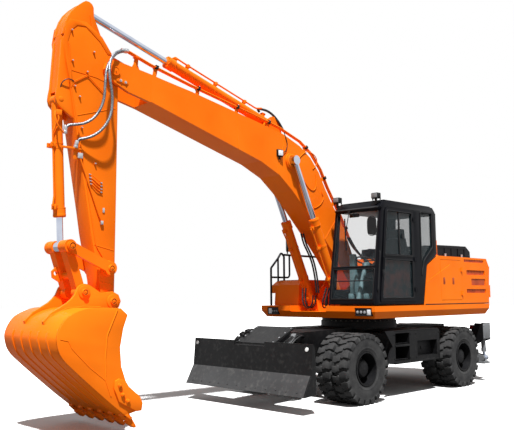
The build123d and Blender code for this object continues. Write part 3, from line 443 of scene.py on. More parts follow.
def turned_section(section, steps, axis="Y"):
    """A ring turned from a closed section of (radius, distance along the axis)."""
    drawn = bpy.data.curves.new("section", "CURVE")
    drawn.dimensions = "3D"
    run = drawn.splines.new("POLY")
    run.points.add(len(section) - 1)
    for corner, (radius, along) in zip(run.points, section):
        corner.co = (radius, along, 0.0, 1.0)
    run.use_cyclic_u = True
    piece = bpy.data.objects.new("section", drawn)
    bpy.context.scene.collection.objects.link(piece)
    take(piece)
    bpy.ops.object.convert(target="MESH")
    ring = bpy.context.object
    work(ring, "SCREW", axis=axis, angle=2 * pi, steps=steps, render_steps=steps, use_merge_vertices=True,
         merge_threshold=0.00001)
    return outward(ring)


# ---- tyres and wheels ---------------------------------------------------------------------------------
TYRE_R = AXLE_Z
TYRE_HALF = 0.135
TYRE_OUT_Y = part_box("tyres_front_left")[1].y - TYRE_HALF
TWIN_GAP = 0.32
LUGS = 22


def tyre_mould():
    """One tyre about the origin, its axle along Y: carcass, staggered block lugs and sidewall ribs."""
    half = [(0.254, 0.100), (0.262, 0.112), (0.285, 0.117), (0.300, 0.1235), (0.306, 0.1260), (0.312, 0.1245),
            (0.340, 0.1295), (0.375, 0.1320), (0.410, 0.1310), (0.440, 0.1280), (0.446, 0.1295),
            (0.452, 0.1270),
            (0.475, 0.1210), (0.490, 0.1080), (0.497, 0.0850), (0.500, 0.0400)]
    section = half + [(r, -w) for r, w in reversed(half)]
    carcass = turned_section(section, 66)
    top = TYRE_R - 0.0030
    block = plate([(-0.006, -0.047), (0.030, -0.060), (0.066, -0.040), (0.112, -0.046), (0.133, -0.046),
                   (0.133, 0.046), (0.112, 0.046), (0.078, 0.052), (0.050, 0.034), (0.004, 0.022)], "x",
                   0.492, top, 0.005)
    shoulder = plate([(top, 0.100), (top - 0.004, 0.118), (0.508, 0.1335), (0.480, TYRE_HALF),
                      (0.452, 0.1345),
                      (0.444, 0.120), (0.470, 0.100)], "z", -0.044, 0.044, 0.004)
    lug = joined([block, shoulder])
    pitch = 2 * pi / LUGS
    left = copied(lug, [Matrix.Rotation(pitch * n, 4, "Y") for n in range(LUGS)])
    right = left.copy()
    right.data = left.data.copy()
    bpy.context.scene.collection.objects.link(right)
    right.matrix_world = Matrix.Rotation(pitch / 2, 4, "Y") @ Matrix.Scale(-1, 4,
            (0, 1, 0)) @ Matrix.Scale(-1, 4, (0, 0, 1))
    settle(right)
    return outward(joined([carcass, left, right]))


def wheels():
    mould = tyre_mould()
    nuts_r, nuts = 0.185, 10
    for end, x in (("front", FRONT_X), ("rear", REAR_X)):
        for side, name in ((1, "left"), (-1, "right")):
            body = f"wheel_{end}_{name}"
            twins = [Matrix.Translation(at(x, side * y, AXLE_Z)) @ Matrix.Rotation(turn, 4, "Y")
                     for y, turn in ((TYRE_OUT_Y, 0.10 * side), (TYRE_OUT_Y - TWIN_GAP, 0.16))]
            pair = mould.copy()
            pair.data = mould.data.copy()
            bpy.context.scene.collection.objects.link(pair)
            fit(copied(pair, twins), f"tyre_pair_{end}_{name}", body, RUBBER, [f"tyres_{end}_{name}"],
                angle=30)
            # lock rings on the rim's edge, wheel nuts round the disc, bolts on the hub cap
            edge_y = TYRE_OUT_Y + 0.108
            ring = turned_section([(0.2335, 0.0), (0.2535, 0.0), (0.2535, 0.012), (0.2480, 0.018),
                                   (0.2400, 0.018), (0.2335, 0.012)], 72)
            ring.matrix_world = Matrix.Translation(at(x, side * edge_y - 0.009, AXLE_Z))
            settle(ring)
            seat = turned_section([(0.2315, -0.10), (0.2345, -0.10), (0.2345, 0.0), (0.2315, 0.0)], 72)
            seat.matrix_world = Matrix.Translation(at(x, side * (edge_y - 0.02) + (0.10 if side < 0 else 0.0),
                                                      AXLE_Z))
            settle(seat)
            fit(joined([ring, seat]), f"lock_ring_{end}_{name}", body, CHARCOAL)
            places = [at(x + nuts_r * cos(2 * pi * n / nuts), side * 1.010,
                         AXLE_Z + nuts_r * sin(2 * pi * n / nuts)) for n in range(nuts)]
            bolts(f"wheel_nuts_{end}_{name}", body, places, (0, side, 0), 0.017)
            cap = [at(x + 0.088 * cos(2 * pi * n / 5 + 0.5), side * 1.168,
                      AXLE_Z + 0.088 * sin(2 * pi * n / 5 + 0.5)) for n in range(5)]
            bolts(f"hub_bolts_{end}_{name}", body, cap, (0, side, 0), 0.010, ZINC)
    bpy.data.objects.remove(mould)


# ---- working gear -------------------------------------------------------------------------------------
BOOM_CYL = (at(0.705, BOOM_Y, 1.455), at(1.820, BOOM_Y, 3.780))
ARM_CYL = (at(2.100, BOOM_Y, 4.373), at(5.520, BOOM_Y, 5.290))
BUCKET_CYL = (at(5.870, BOOM_Y, 4.035), at(5.765, BOOM_Y, 2.223))
BOOM_SIDE, ARM_SIDE, BUCKET_SIDE = 0.220, 0.145, 0.650   # half widths about the boom's plane
PIPE_YS = (0.168, 0.204)
PIPE_RUN = ((4.990, 4.850), (4.600, 4.745), (3.900, 4.610), (2.700, 4.415), (2.050, 4.300), (1.560, 4.150),
            (1.270, 3.980), (1.040, 3.740), (0.860, 3.450), (0.500, 2.960), (0.280, 2.600))


def on_pipes(x):
    """Height and slope of the boom's pipes at a distance from the slewing axis."""
    for (x1, z1), (x0, z0) in zip(PIPE_RUN, PIPE_RUN[1:]):
        if x0 <= x <= x1:
            return z0 + (z1 - z0) * (x - x0) / (x1 - x0), (z1 - z0) / (x1 - x0)


def turned(piece, place, slope):
    """Tips a piece drawn at the origin along a slope in X and Z, and puts it at its place."""
    piece.matrix_world = Matrix.Translation(place) @ Matrix.Rotation(-atan(slope), 4, "Y")
    return settle(piece)


def pipe_clamps():
    """Clamp blocks with two screws over each bracket of the boom's pipes."""
    blocks, screws = [], []
    for x in (4.50, 3.75, 2.98, 2.30, 1.415, 0.955, 0.680, 0.390):
        z, slope = on_pipes(x)
        for side in (1, -1):
            middle = at(x, BOOM_Y + side * sum(PIPE_YS) / 2, z)
            block = slab((-0.024, -0.041, -0.022), (0.024, 0.041, 0.022), 0.006)
            cover = slab((-0.026, -0.043, 0.020), (0.026, 0.043, 0.026), 0.002)
            blocks.append(turned(joined([block, cover]), middle, slope))
            for y in (-0.033, 0.0, 0.033):
                screw = stick(Vector((0, y, 0.024)), Vector((0, y, 0.036)), 0.0075, sides=6, edge=0.0015)
                screws.append(turned(screw, middle, slope))
    fit(joined(blocks), "boom_pipe_clamps", "boom", TRIM)
    fit(joined(screws), "boom_pipe_screws", "boom", ZINC)


def pin_end(place, radius, side, shade_ringed, proud=0.012):
    """A pin's end: a keeper disc with a raised rim and a grease nipple,
    and a charcoal ring inside the rim, painted shade that stands for a groove."""
    out = Vector((0, side, 0))
    disc = stick(place, place + out * proud, radius, sides=40, edge=0.003)
    rim = turned_section([(radius * 0.80, 0.0), (radius * 0.93, 0.0), (radius * 0.93, 0.006),
                          (radius * 0.80, 0.006)], 40)
    rim.matrix_world = Matrix.Translation(place + out * (proud + (0.0 if side > 0 else 0.006) - 0.001))
    settle(rim)
    nipple = stick(place + out * proud, place + out * (proud + 0.014), 0.008, sides=12, edge=0.002,
                   far_radius=0.005)
    end = joined([disc, rim, nipple])
    if not shade_ringed:
        return end, None
    # a charcoal ring laid on the disc inside the rim: painted shade of a groove
    shade_ring = turned_section([(radius * 0.64, 0.0), (radius * 0.78, 0.0), (radius * 0.78, 0.003),
                             (radius * 0.64, 0.003)], 40)
    shade_ring.matrix_world = Matrix.Translation(place + out * (proud + (0.0 if side > 0 else 0.003) - 0.0005))
    return end, settle(shade_ring)


def pin_ends():
    """Keeper discs over the ends of every pivot of the working gear."""
    spots = {
        "boom": [((5.170, 4.520), 0.224, 0.062), ((1.820, 3.780), 0.250, 0.112),
                 ((0.150, 1.800), 0.270, 0.10)],
        "arm": [((5.195, 1.970), 0.260, 0.040)],
        "levers": [((5.765, 2.223), 0.285, 0.048)],
        "bucket": [((5.165, 1.560), 0.268, 0.042), ((5.570, 1.672), 0.272, 0.040)],
        "upper": [((0.705, 1.455), 0.414, 0.052)]}
    for body, pins in spots.items():
        made = [pin_end(at(x, BOOM_Y + side * y, z), radius, side, body != "boom")
                for (x, z), y, radius in pins for side in (1, -1)]
        fit(joined([end for end, _ in made]), f"pin_ends_{body}", body, ORANGE)
        if body != "boom":
            # charcoal rings: painted shade of the grooves in the keeper discs
            fit(joined([shade_ring for _, shade_ring in made]), f"pin_shade_rings_{body}", body, CHARCOAL)


def along(run, distance):
    return run[0] + (run[1] - run[0]).normalized() * distance


def gland(run, barrel, radius, offset):
    """Gland nut at a barrel's mouth: two rings, the row of screws between them and the rod's wiper."""
    way = (run[1] - run[0]).normalized()
    mouth = along(run, barrel) + offset
    back = stick(mouth - way * radius * 1.62, mouth - way * radius * 1.40, radius * 1.19, sides=40,
                 edge=0.003)
    front = stick(mouth - way * radius * 0.42, mouth + way * 0.004, radius * 1.19, sides=40, edge=0.003)
    wiper = stick(mouth, mouth + way * 0.016, radius * 0.78, sides=32, edge=0.003)
    turn = way.to_track_quat("Z", "Y").to_matrix().to_4x4()
    screw = stick(Vector((0, 0, 0)), Vector((0, 0, 0.012)), 0.0095, sides=6, edge=0.0015)
    ring = [Matrix.Translation(mouth) @ turn @ Matrix.Rotation(2 * pi * n / 10, 4, "Z")
            @ Matrix.Translation((radius * 1.02, 0, 0)) for n in range(10)]
    return joined([back, front, wiper, copied(screw, ring)])


def port(run, distance, side, radius, offset, reach=0.05):
    """Hose flange welded to a barrel: a block and a square flange.
    Side is a direction across it."""
    way = (run[1] - run[0]).normalized()
    side = (side - way * side.dot(way)).normalized()
    base = along(run, distance) + offset
    turn = side.to_track_quat("Z", "Y").to_matrix().to_4x4()
    block = slab((-0.028, -0.028, radius * 0.7), (0.028, 0.028, radius + reach * 0.6), 0.006)
    flange = slab((-0.034, -0.034, radius + reach * 0.55), (0.034, 0.034, radius + reach), 0.004)
    piece = joined([block, flange])
    piece.matrix_world = Matrix.Translation(base) @ turn
    return settle(piece)


def band(run, distance, radius, offset, width=0.036):
    """Clamp band round a barrel."""
    way = (run[1] - run[0]).normalized()
    middle = along(run, distance) + offset
    hoop = turned_section([(radius * 0.98, -width / 2), (radius * 1.05, -width / 2),
                           (radius * 1.05, width / 2), (radius * 0.98, width / 2)], 40)
    hoop.matrix_world = Matrix.Translation(middle) @ Vector((0, 1,
            0)).rotation_difference(way).to_matrix().to_4x4()
    return settle(hoop)


def cylinder_dress():
    """Glands, ports, feed pipes and clamp bands on the barrels of the boom, the arm and the bucket."""
    up, left = Vector((0, 0, 1)), Vector((0, 1, 0))
    nothing = Vector((0, 0, 0))
    pieces, pipes, bands = [], [], []
    for side in (1, -1):
        offset = left * side * 0.310
        pieces.append(gland(BOOM_CYL, 1.555, 0.074, offset))
        pieces.append(port(BOOM_CYL, 1.43, -up, 0.074, offset))
        pieces.append(port(BOOM_CYL, 0.16, -up, 0.074, offset))
        below = (-up - (BOOM_CYL[1] - BOOM_CYL[0]).normalized()
                 * (-up).dot((BOOM_CYL[1] - BOOM_CYL[0]).normalized())).normalized()
        far, near = along(BOOM_CYL, 1.43) + offset + below * 0.125, along(BOOM_CYL,
                0.30) + offset + below * 0.118
        pipes.append(hard_pipe([far - below * 0.02, far + below * 0.012,
                                along(BOOM_CYL, 1.30) + offset + below * 0.118,
                                near, along(BOOM_CYL, 0.20) + offset + below * 0.16 + left * side * 0.03],
                                0.013))
        for spot in (0.52, 1.08):
            bands.append(band(BOOM_CYL, spot, 0.074, offset))
            middle = along(BOOM_CYL, spot) + offset + below * 0.105
            bands.append(slab(middle - Vector((0.026, 0.03, 0.026)), middle + Vector((0.026, 0.03, 0.026)),
                              0.006))
    fit(joined(pieces), "boom_cylinder_glands", "boom_barrels", ORANGE)
    fit(joined(pipes), "boom_cylinder_pipes", "boom_barrels", ORANGE)
    fit(joined(bands), "boom_cylinder_bands", "boom_barrels", ORANGE)

    # arm cylinder: pipes along its top, from the base to the gland
    pieces = [gland(ARM_CYL, 2.150, 0.076, nothing), port(ARM_CYL, 2.03, up, 0.076, nothing),
              port(ARM_CYL, 0.17, up, 0.076, nothing)]
    top = (up - (ARM_CYL[1] - ARM_CYL[0]).normalized()
           * up.dot((ARM_CYL[1] - ARM_CYL[0]).normalized())).normalized()
    end = along(ARM_CYL, 2.03) + top * 0.13
    pipes = [hard_pipe([end - top * 0.01, end + top * 0.015, along(ARM_CYL, 1.90) + top * 0.12 + left * 0.03,
                        along(ARM_CYL, 0.36) + top * 0.12 + left * 0.03,
                        along(ARM_CYL, 0.26) + top * 0.165 + left * 0.05], 0.013)]
    bands = []
    for spot in (0.62, 1.24, 1.80):
        bands.append(band(ARM_CYL, spot, 0.076, nothing))
        middle = along(ARM_CYL, spot) + top * 0.108 + left * 0.02
        bands.append(turned(slab((-0.022, -0.03, -0.028), (0.022, 0.036, 0.028), 0.006), middle, 0.268))
    fit(joined(pieces), "arm_cylinder_gland", "arm_barrel", ORANGE)
    fit(joined(pipes), "arm_cylinder_pipe", "arm_barrel", ORANGE)
    fit(joined(bands), "arm_cylinder_bands", "arm_barrel", ORANGE)

    # bucket cylinder: a pipe down its front with one clamp band
    pieces = [gland(BUCKET_CYL, 1.440, 0.066, nothing),
              port(BUCKET_CYL, 1.33, Vector((1, 0.5, 0)), 0.066, nothing),
              port(BUCKET_CYL, 0.17, Vector((0.25, 1, 0)), 0.066, nothing)]
    ahead = Vector((1, 0.5, 0)).normalized()
    pipes = [hard_pipe([along(BUCKET_CYL, 1.33) + ahead * 0.11, along(BUCKET_CYL, 1.33) + ahead * 0.135,
                        along(BUCKET_CYL, 1.20) + ahead * 0.100, along(BUCKET_CYL, 0.42) + ahead * 0.096,
                        along(BUCKET_CYL, 0.26) + Vector((0.03, 0.105, 0)),
                        along(BUCKET_CYL, 0.14) + Vector((0.045, 0.085, 0))], 0.011)]
    bands = []
    for spot in (0.54, 0.60):
        bands.append(band(BUCKET_CYL, spot, 0.066, nothing, 0.018))
    ear = along(BUCKET_CYL, 0.57)
    for side in (1, -1):
        bands.append(slab(ear + Vector((0.052, side * 0.048 - 0.010, -0.030)),
                          ear + Vector((0.118, side * 0.048 + 0.010, 0.030)), 0.004))
        bands.append(stick(ear + Vector((0.098, -0.075, 0.018 * side)),
                           ear + Vector((0.098, 0.075, 0.018 * side)), 0.007, sides=6, edge=0.001))
    fit(joined(pieces), "bucket_cylinder_gland", "bucket_barrel", ORANGE)
    fit(joined(pipes), "bucket_cylinder_pipe", "bucket_barrel", ORANGE)
    fit(joined(bands), "bucket_cylinder_clamp", "bucket_barrel", ORANGE)


def weld(points, radius=0.005):
    """A bead of weld."""
    return tube(points, radius, sides=2, smooth=2)


def boom_dress():
    """Weld seams, inspection lamp, grease lines and the hose from the arm cylinder on the boom."""
    face = BOOM_Y + BOOM_SIDE
    seams = []
    for side in (1, -1):
        y = BOOM_Y + side * (BOOM_SIDE + 0.0005)
        seams += [weld([at(2.99, y, 4.21 + 0.15), at(2.985, y, 3.83)]),
                  weld([at(1.95, y, 4.17), at(1.98, y, 4.03), at(2.05, y, 3.86), at(2.09, y, 3.755),
                        at(2.10, y, 3.545)]),
                  weld([at(0.62, y, 2.98), at(0.98, y, 2.56)])]
    fit(joined(seams), "boom_welds", "boom", ORANGE, angle=60)

    lamp = slab((-0.052, 0.004, -0.052), (0.052, 0.050, 0.052), 0.012)
    hood = slab((-0.060, 0.0, -0.060), (0.060, 0.034, 0.060), 0.010)
    foot = slab((-0.02, 0.005, -0.10), (0.02, 0.012, -0.03), 0.002)
    lamp = joined([lamp, hood, foot])
    lamp.matrix_world = Matrix.Translation(at(2.09, face, 3.87)) @ Matrix.Rotation(radians(-14), 4, "Z")
    fit(settle(lamp), "boom_lamp", "boom", TRIM)
    glass = slab((-0.043, 0.046, -0.043), (0.043, 0.054, 0.043), 0.006)
    glass.matrix_world = Matrix.Translation(at(2.09, face, 3.87)) @ Matrix.Rotation(radians(-14), 4, "Z")
    fit(settle(glass), "boom_lamp_glass", "boom", LENS)
    fit(tube(line((2.06, face + 0.012, 3.87), (1.96, face + 0.014, 3.90), (1.90, face + 0.012, 4.02),
                  (1.93, face + 0.010, 4.14),
                  (1.98, face + 0.004, 4.24)), 0.006), "boom_lamp_lead", "boom", TRIM)

    # grease lines looping to the boom cylinder's boss
    greases = []
    for side in (1, -1):
        y = BOOM_Y + side * (BOOM_SIDE + 0.006)
        greases.append(tube(line((1.62, y, 3.86), (1.50, y, 3.98), (1.32, y + 0.001 * side, 4.00),
                                 (1.18, y + 0.001 * side, 3.93),
                                 (1.16, y, 3.80), (1.28, y, 3.72)), 0.0075))
        greases.append(tube(line((1.20, y, 3.63), (1.18, y + 0.001 * side, 3.50),
                                 (1.24, y + 0.001 * side, 3.34),
                                 (1.40, y, 3.38), (1.52, y, 3.52), (1.70, y, 3.66)), 0.0075))
        greases.append(tube(line((1.04, y, 3.45), (1.07, y + 0.001 * side, 3.34),
                                 (0.99, y + 0.001 * side, 3.26),
                                 (1.12, y, 3.10), (1.26, y, 3.06)), 0.0075))
    fit(joined(greases), "boom_grease_lines", "boom", ORANGE)

    # post and saddle under the pipes' front ends, keeper plates of the arm's pivot
    posts, keepers = [], []
    for side in (1, -1):
        middle = BOOM_Y + side * sum(PIPE_YS) / 2
        posts.append(plate(from_slew([(4.745, 4.600), (4.905, 4.620), (4.860, 4.700), (4.845, 4.806),
                                      (4.785, 4.790), (4.790, 4.690)]), "y",
                           min(middle - side * 0.004, middle - side * 0.014),
                           max(middle - side * 0.004, middle - side * 0.014), 0.003))
        posts.append(turned(slab((-0.034, -0.044, -0.024), (0.034, 0.044, -0.012), 0.003),
                            at(4.815, middle, on_pipes(4.815)[0]), 0.27))
        y = BOOM_Y + side * 0.2165
        lo, hi = sorted((y - side * 0.003, y + side * 0.009))
        posts.append(plate(from_slew([(5.150, 4.430), (5.150, 4.395), (4.990, 4.370), (4.965, 4.400),
                                      (4.990, 4.440)]), "y", lo, hi, 0.002))
        keepers += [at(5.085, y + side * 0.009, 4.412), at(5.010, y + side * 0.009, 4.402)]
    fit(joined(posts), "boom_tip_posts", "boom", ORANGE)
    bolts("boom_keeper_bolts_left", "boom", keepers[:2], (0, 1, 0), 0.013, ZINC)
    bolts("boom_keeper_bolts_right", "boom", keepers[2:], (0, -1, 0), 0.013, ZINC)

    # thick hose from the pipes back to the arm cylinder's base port
    hose = tube(line((1.93, BOOM_Y + 0.168, 4.275), (2.02, BOOM_Y + 0.150, 4.42),
                     (2.16, BOOM_Y + 0.075, 4.575), (2.32, BOOM_Y + 0.01, 4.60),
                     (2.36, BOOM_Y, 4.585), (2.31, BOOM_Y, 4.55)), 0.019, sides=6)
    fit(hose, "arm_cylinder_hose", "boom", HOSE_BLACK)


def fittings(places, body, name, radius=0.0185):
    """Swaged hose ends: a hexagon and a collar on a run from one place to another."""
    made = []
    for start, end in places:
        way = (end - start).normalized()
        length = (end - start).length
        made += [stick(start, start + way * length * 0.35, radius * 1.15, sides=6, edge=0.002),
                 stick(start + way * length * 0.30, end, radius, sides=20, edge=0.003)]
    return fit(joined(made), name, body, ZINC)


def arm_hoses():
    """Two braided hoses that hang from the boom's pipes to the arm, past the arm's pivot."""
    outer = line((4.98, 0.028, 4.850), (5.12, 0.08, 4.79), (5.25, 0.14, 4.68), (5.36, 0.17, 4.50),
                 (5.38, 0.18, 4.28),
                 (5.38, 0.17, 4.10), (5.42, 0.15, 3.95), (5.50, 0.12, 3.82), (5.62, 0.09, 3.74),
                 (5.73, 0.05, 3.72),
                 (5.80, 0.02, 3.71), (5.83, 0.02, 3.65))
    inner = line((4.98, 0.064, 4.850), (5.14, 0.10, 4.80), (5.28, 0.15, 4.66), (5.34, 0.20, 4.49),
                 (5.33, 0.21, 4.34), (5.30, 0.21, 4.20),
                 (5.28, 0.20, 4.05), (5.31, 0.20, 3.85), (5.40, 0.17, 3.69), (5.50, 0.12, 3.60),
                 (5.60, 0.08, 3.56),
                 (5.66, 0.05, 3.55), (5.68, 0.035, 3.49))
    for name, run in (("outer", outer), ("inner", inner)):
        hose = fit(tube(run, 0.018, sides=7), f"arm_hose_{name}", None, BRAIDED)
        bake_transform(hose)
    fittings([(at(4.97, 0.028, 4.846), at(5.075, 0.052, 4.822)),
              (at(4.97, 0.064, 4.846), at(5.08, 0.082, 4.824))],
             "boom", "boom_hose_ends", 0.025)
    ends = [(at(5.83, 0.018, 3.60), at(5.826, 0.02, 3.70)), (at(5.685, 0.022, 3.44), at(5.672, 0.040, 3.53))]
    fittings(ends, "arm", "arm_hose_ends", 0.025)
    brackets = [slab(at(5.60, 0.0, 3.42), at(5.86, 0.034, 3.445), 0.003),
                slab(at(5.62, 0.0, 3.30), at(5.70, 0.006, 3.445), 0.002)]
    fit(joined(brackets), "arm_hose_bracket", "arm", ORANGE)


ARM_FRONT = ((5.480, 2.690), (5.430, 2.400), (5.300, 1.820), (5.270, 1.600))


def arm_body():
    """The arm: box section, its bosses, the ears of both cylinders,
    and the closed box above the bucket cylinder."""
    low, high = BOOM_Y - ARM_SIDE, BOOM_Y + ARM_SIDE
    outline = [(5.070, 4.300), (5.090, 4.600), (5.180, 4.760), (5.330, 4.950), (5.560, 5.090), (5.700, 5.080),
               (5.800, 4.990), (5.880, 4.790),
               (5.830, 4.500), (5.760, 4.180), *ARM_FRONT, (5.165, 1.450), (5.075, 1.560), (5.070, 2.900)]
    box = plate(from_slew(outline), "y", low, high, 0.012)

    def boss(x, z, radius, half):
        return stick(at(x, BOOM_Y - half, z), at(x, BOOM_Y + half, z), radius, sides=48, edge=0.008)
    bosses = [boss(5.170, 4.520, 0.130, ARM_SIDE + 0.004), boss(5.165, 1.560, 0.118, 0.195),
              boss(5.195, 1.970, 0.098, 0.195),
              boss(5.195, 1.970, 0.045, 0.258)]
    crown = from_slew([(5.300, 4.900), (5.440, 5.200), (5.447, 5.320), (5.470, 5.362), (5.510, 5.383),
                       (5.560, 5.383), (5.600, 5.356),
                       (5.680, 5.282), (5.760, 5.190), (5.815, 5.090), (5.850, 4.985), (5.872, 4.870),
                       (5.800, 4.800)])
    ears = [plate(crown, "y", BOOM_Y + y, BOOM_Y + y + 0.060, 0.006) for y in (-0.125, 0.065)]
    cover = plate(from_slew([(5.868, 4.860), (5.846, 4.985), (5.810, 5.090), (5.755, 5.188), (5.675, 5.276),
                             (5.640, 5.308), (5.626, 5.294),
                             (5.662, 5.262), (5.738, 5.178), (5.790, 5.084), (5.826, 4.980), (5.846, 4.860)]),
                             "y", BOOM_Y - 0.080, BOOM_Y + 0.080, 0.003)
    nose = from_slew([(5.650, 3.800), (5.750, 3.850), (5.872, 3.925), (5.922, 3.975), (5.940, 4.035),
                      (5.936, 4.100), (5.918, 4.200),
                      (5.884, 4.780), (5.860, 4.820), (5.800, 4.500), (5.700, 4.200)])
    cheeks = [plate(nose, "y", BOOM_Y + y, BOOM_Y + y + 0.040, 0.005) for y in (-0.115, 0.075)]
    front = plate(from_slew([(5.914, 4.130), (5.876, 4.790), (5.866, 4.880), (5.840, 4.880), (5.800, 4.500),
                             (5.740, 4.130)]), "y", BOOM_Y - 0.080, BOOM_Y + 0.080, 0.003)
    rim = from_slew([(5.760, 4.200), (5.830, 4.500), (5.878, 4.790), (5.850, 4.985), (5.790, 5.075),
                     (5.700, 5.080), (5.560, 5.090), (5.330, 4.950), (5.180, 4.760),
                     (5.240, 4.740), (5.360, 4.880), (5.570, 5.030), (5.690, 5.015), (5.775, 4.930),
                     (5.815, 4.780), (5.775, 4.510), (5.720, 4.240)])
    rims = [plate(rim, "y", low - 0.007, low + 0.002, 0.002),
            plate(rim, "y", high - 0.002, high + 0.007, 0.002)]
    cylinder_pin = boss(5.870, 4.035, 0.034, 0.121)
    fit(joined([box] + bosses + ears + [cover] + cheeks + rims + [front, cylinder_pin]), "arm_body", "arm",
        ORANGE, ["arm"], angle=30)


def arm_dress():
    """Pipes, grease lines, bosses and weld seams on the arm's sides."""
    face = BOOM_Y + ARM_SIDE
    steel = [slab(at(5.585, face, 3.315), at(5.655, face + 0.034, 3.385), 0.006),
             slab(at(5.27, face, 2.515), at(5.31, face + 0.030, 2.565), 0.005),
             slab(at(5.245, face, 2.67), at(5.275, face + 0.010, 2.73), 0.002)]
    fit(joined(steel), "arm_pipe_blocks", "arm", ZINC)
    pipes = [hard_pipe(line((5.62, face + 0.020, 3.40), (5.61, face + 0.022, 3.30),
                            (5.33, face + 0.020, 2.62), (5.29, face + 0.018, 2.55)), 0.010),
             hard_pipe(line((5.72, face + 0.012, 4.28), (5.54, face + 0.012, 4.40),
                            (5.30, face + 0.012, 4.22)), 0.006)]
    for side in (1, -1):
        y = BOOM_Y + side * (ARM_SIDE + 0.008)
        pipes.append(hard_pipe(line((5.80, y, 4.75), (5.77, y, 4.30), (5.62, y, 3.55), (5.36, y, 2.25),
                                    (5.24, y, 2.08)), 0.006))
    fit(joined(pipes), "arm_pipes", "arm", ORANGE)
    stacks, nipples = [], []
    for side in (1, -1):
        y = BOOM_Y + side * (ARM_SIDE + 0.012)
        for n in range(4):
            drop = -0.040 * n
            stacks.append(tube(line((5.475 - 0.006 * n, y, 3.135 + drop),
                                    (5.43, y + 0.008 * side, 3.125 + drop),
                                    (5.36, y + 0.012 * side, 3.065 + drop), (5.30, y, 3.045 + drop)), 0.006))
            nipples += [stick(at(5.485 - 0.006 * n, y, 3.136 + drop), at(5.455 - 0.006 * n, y, 3.132 + drop),
                              0.0095, sides=8, edge=0.002),
                        stick(at(5.29, y, 3.042 + drop), at(5.32, y, 3.050 + drop), 0.0095, sides=8,
                              edge=0.002)]
    fit(joined(stacks), "arm_grease_lines", "arm", ORANGE)
    fit(joined(nipples), "arm_grease_nipples", "arm", ZINC)
    bosses, tips = [], []
    for x, z in ((5.77, 4.93), (5.75, 4.54), (5.54, 4.44), (5.71, 4.22), (5.64, 4.10), (5.60, 3.71),
                 (5.40, 3.28), (5.45, 4.72)):
        for side in (1, -1):
            y = BOOM_Y + side * ARM_SIDE
            bosses.append(stick(at(x, y - 0.004 * side, z), at(x, y + 0.012 * side, z), 0.017, sides=20,
                                edge=0.003))
            tips.append(stick(at(x, y + 0.010 * side, z), at(x, y + 0.030 * side, z), 0.013, sides=12,
                              edge=0.003, far_radius=0.009))
    fit(joined(bosses), "arm_bosses", "arm", ORANGE)
    fit(joined(tips), "arm_nipples", "arm", ZINC)
    seams = []
    for side in (1, -1):
        y = BOOM_Y + side * (ARM_SIDE + 0.0005)
        seams += [weld(line((5.11, y, 4.335), (5.40, y, 4.40), (5.79, y, 4.42))),
                  weld(line((5.11, y, 4.05), (5.66, y, 3.86))),
                  weld(line((5.10, y, 2.20), (5.38, y, 2.26))), weld(line((5.10, y, 1.76), (5.28, y, 1.80)))]
    fit(joined(seams), "arm_welds", "arm", ORANGE, angle=60)
    # grease loop at the arm's head, and the hose arc at its front edge
    top = BOOM_Y + 0.130
    loop = tube(line((5.74, top, 5.00), (5.66, top + 0.01, 5.03), (5.57, top + 0.012, 5.03),
                     (5.51, top + 0.01, 4.97), (5.47, top + 0.006, 5.03),
                     (5.48, top, 5.10), (5.50, top, 5.20)), 0.0065)
    fit(loop, "arm_head_grease_line", "arm", ORANGE)
    arc = tube(line((5.885, BOOM_Y + 0.10, 4.14), (5.885, BOOM_Y + 0.12, 4.22), (5.84, BOOM_Y + 0.15, 4.28),
                    (5.77, face + 0.012, 4.30), (5.72, face + 0.008, 4.28)), 0.0065)
    fit(arc, "arm_front_hose", "arm", HOSE_BLACK)
    # hose from the arm's bracket to the bucket cylinder's base port
    feed = tube(line((5.84, 0.018, 3.60), (5.93, 0.03, 3.66), (5.975, 0.02, 3.78), (5.955, -0.005, 3.86)),
                0.011)
    fit(feed, "bucket_cylinder_feed", "arm", ORANGE)


def boom_foot_hoses():
    """Hoses that loop from the slewing deck up to the boom's pipes, past the boom's pivot."""
    loops = []
    for side in (1, -1):
        for n, y in enumerate(PIPE_YS):
            across = BOOM_Y + side * y
            loops.append(line((0.30, across, 2.628), (0.20, across, 2.50),
                              (0.02, across + 0.01 * side, 2.36 - 0.03 * n),
                              (-0.22, across + 0.01 * side, 2.24 - 0.02 * n), (-0.36, across, 2.02),
                              (-0.36, across - 0.01 * side, 1.78), (-0.33, across - 0.02 * side, 1.62)))
    for n, run in enumerate(loops):
        hose = fit(tube(run, 0.019, sides=5), f"boom_foot_hose_{n}", None, HOSE_BLACK)
        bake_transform(hose)
    # feed hoses of the boom cylinders, hanging ahead of the foot
    feeds = []
    for side in (1, -1):
        y = BOOM_Y + side * 0.16
        for dx in (0.0, 0.075):
            feeds.append(tube(line((0.80 + dx, y, 1.62), (0.80 + dx, y, 1.48),
                                   (0.88 + dx, y + 0.02 * side, 1.40), (0.98 + dx, y + 0.04 * side, 1.42),
                                   (1.00 + dx, y + 0.07 * side, 1.56), (0.94 + dx, y + 0.10 * side, 1.74)),
                                   0.0135, sides=5))
    fit(joined(feeds), "deck_hoses", "upper", HOSE_BLACK)
    # slack loops under the boom, between its two cylinders, down to the deck
    for n in range(2):
        y = BOOM_Y - 0.115 + 0.05 * n
        run = line((1.21, y, 2.66), (1.16, y, 2.50), (1.05, y, 2.36), (0.95, y, 2.20), (0.89, y, 2.02),
                   (0.85, y, 1.84), (0.83, y, 1.66))
        hose = fit(tube(run, 0.015, sides=5), f"tank_hose_{n}", None, HOSE_BLACK)
        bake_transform(hose)


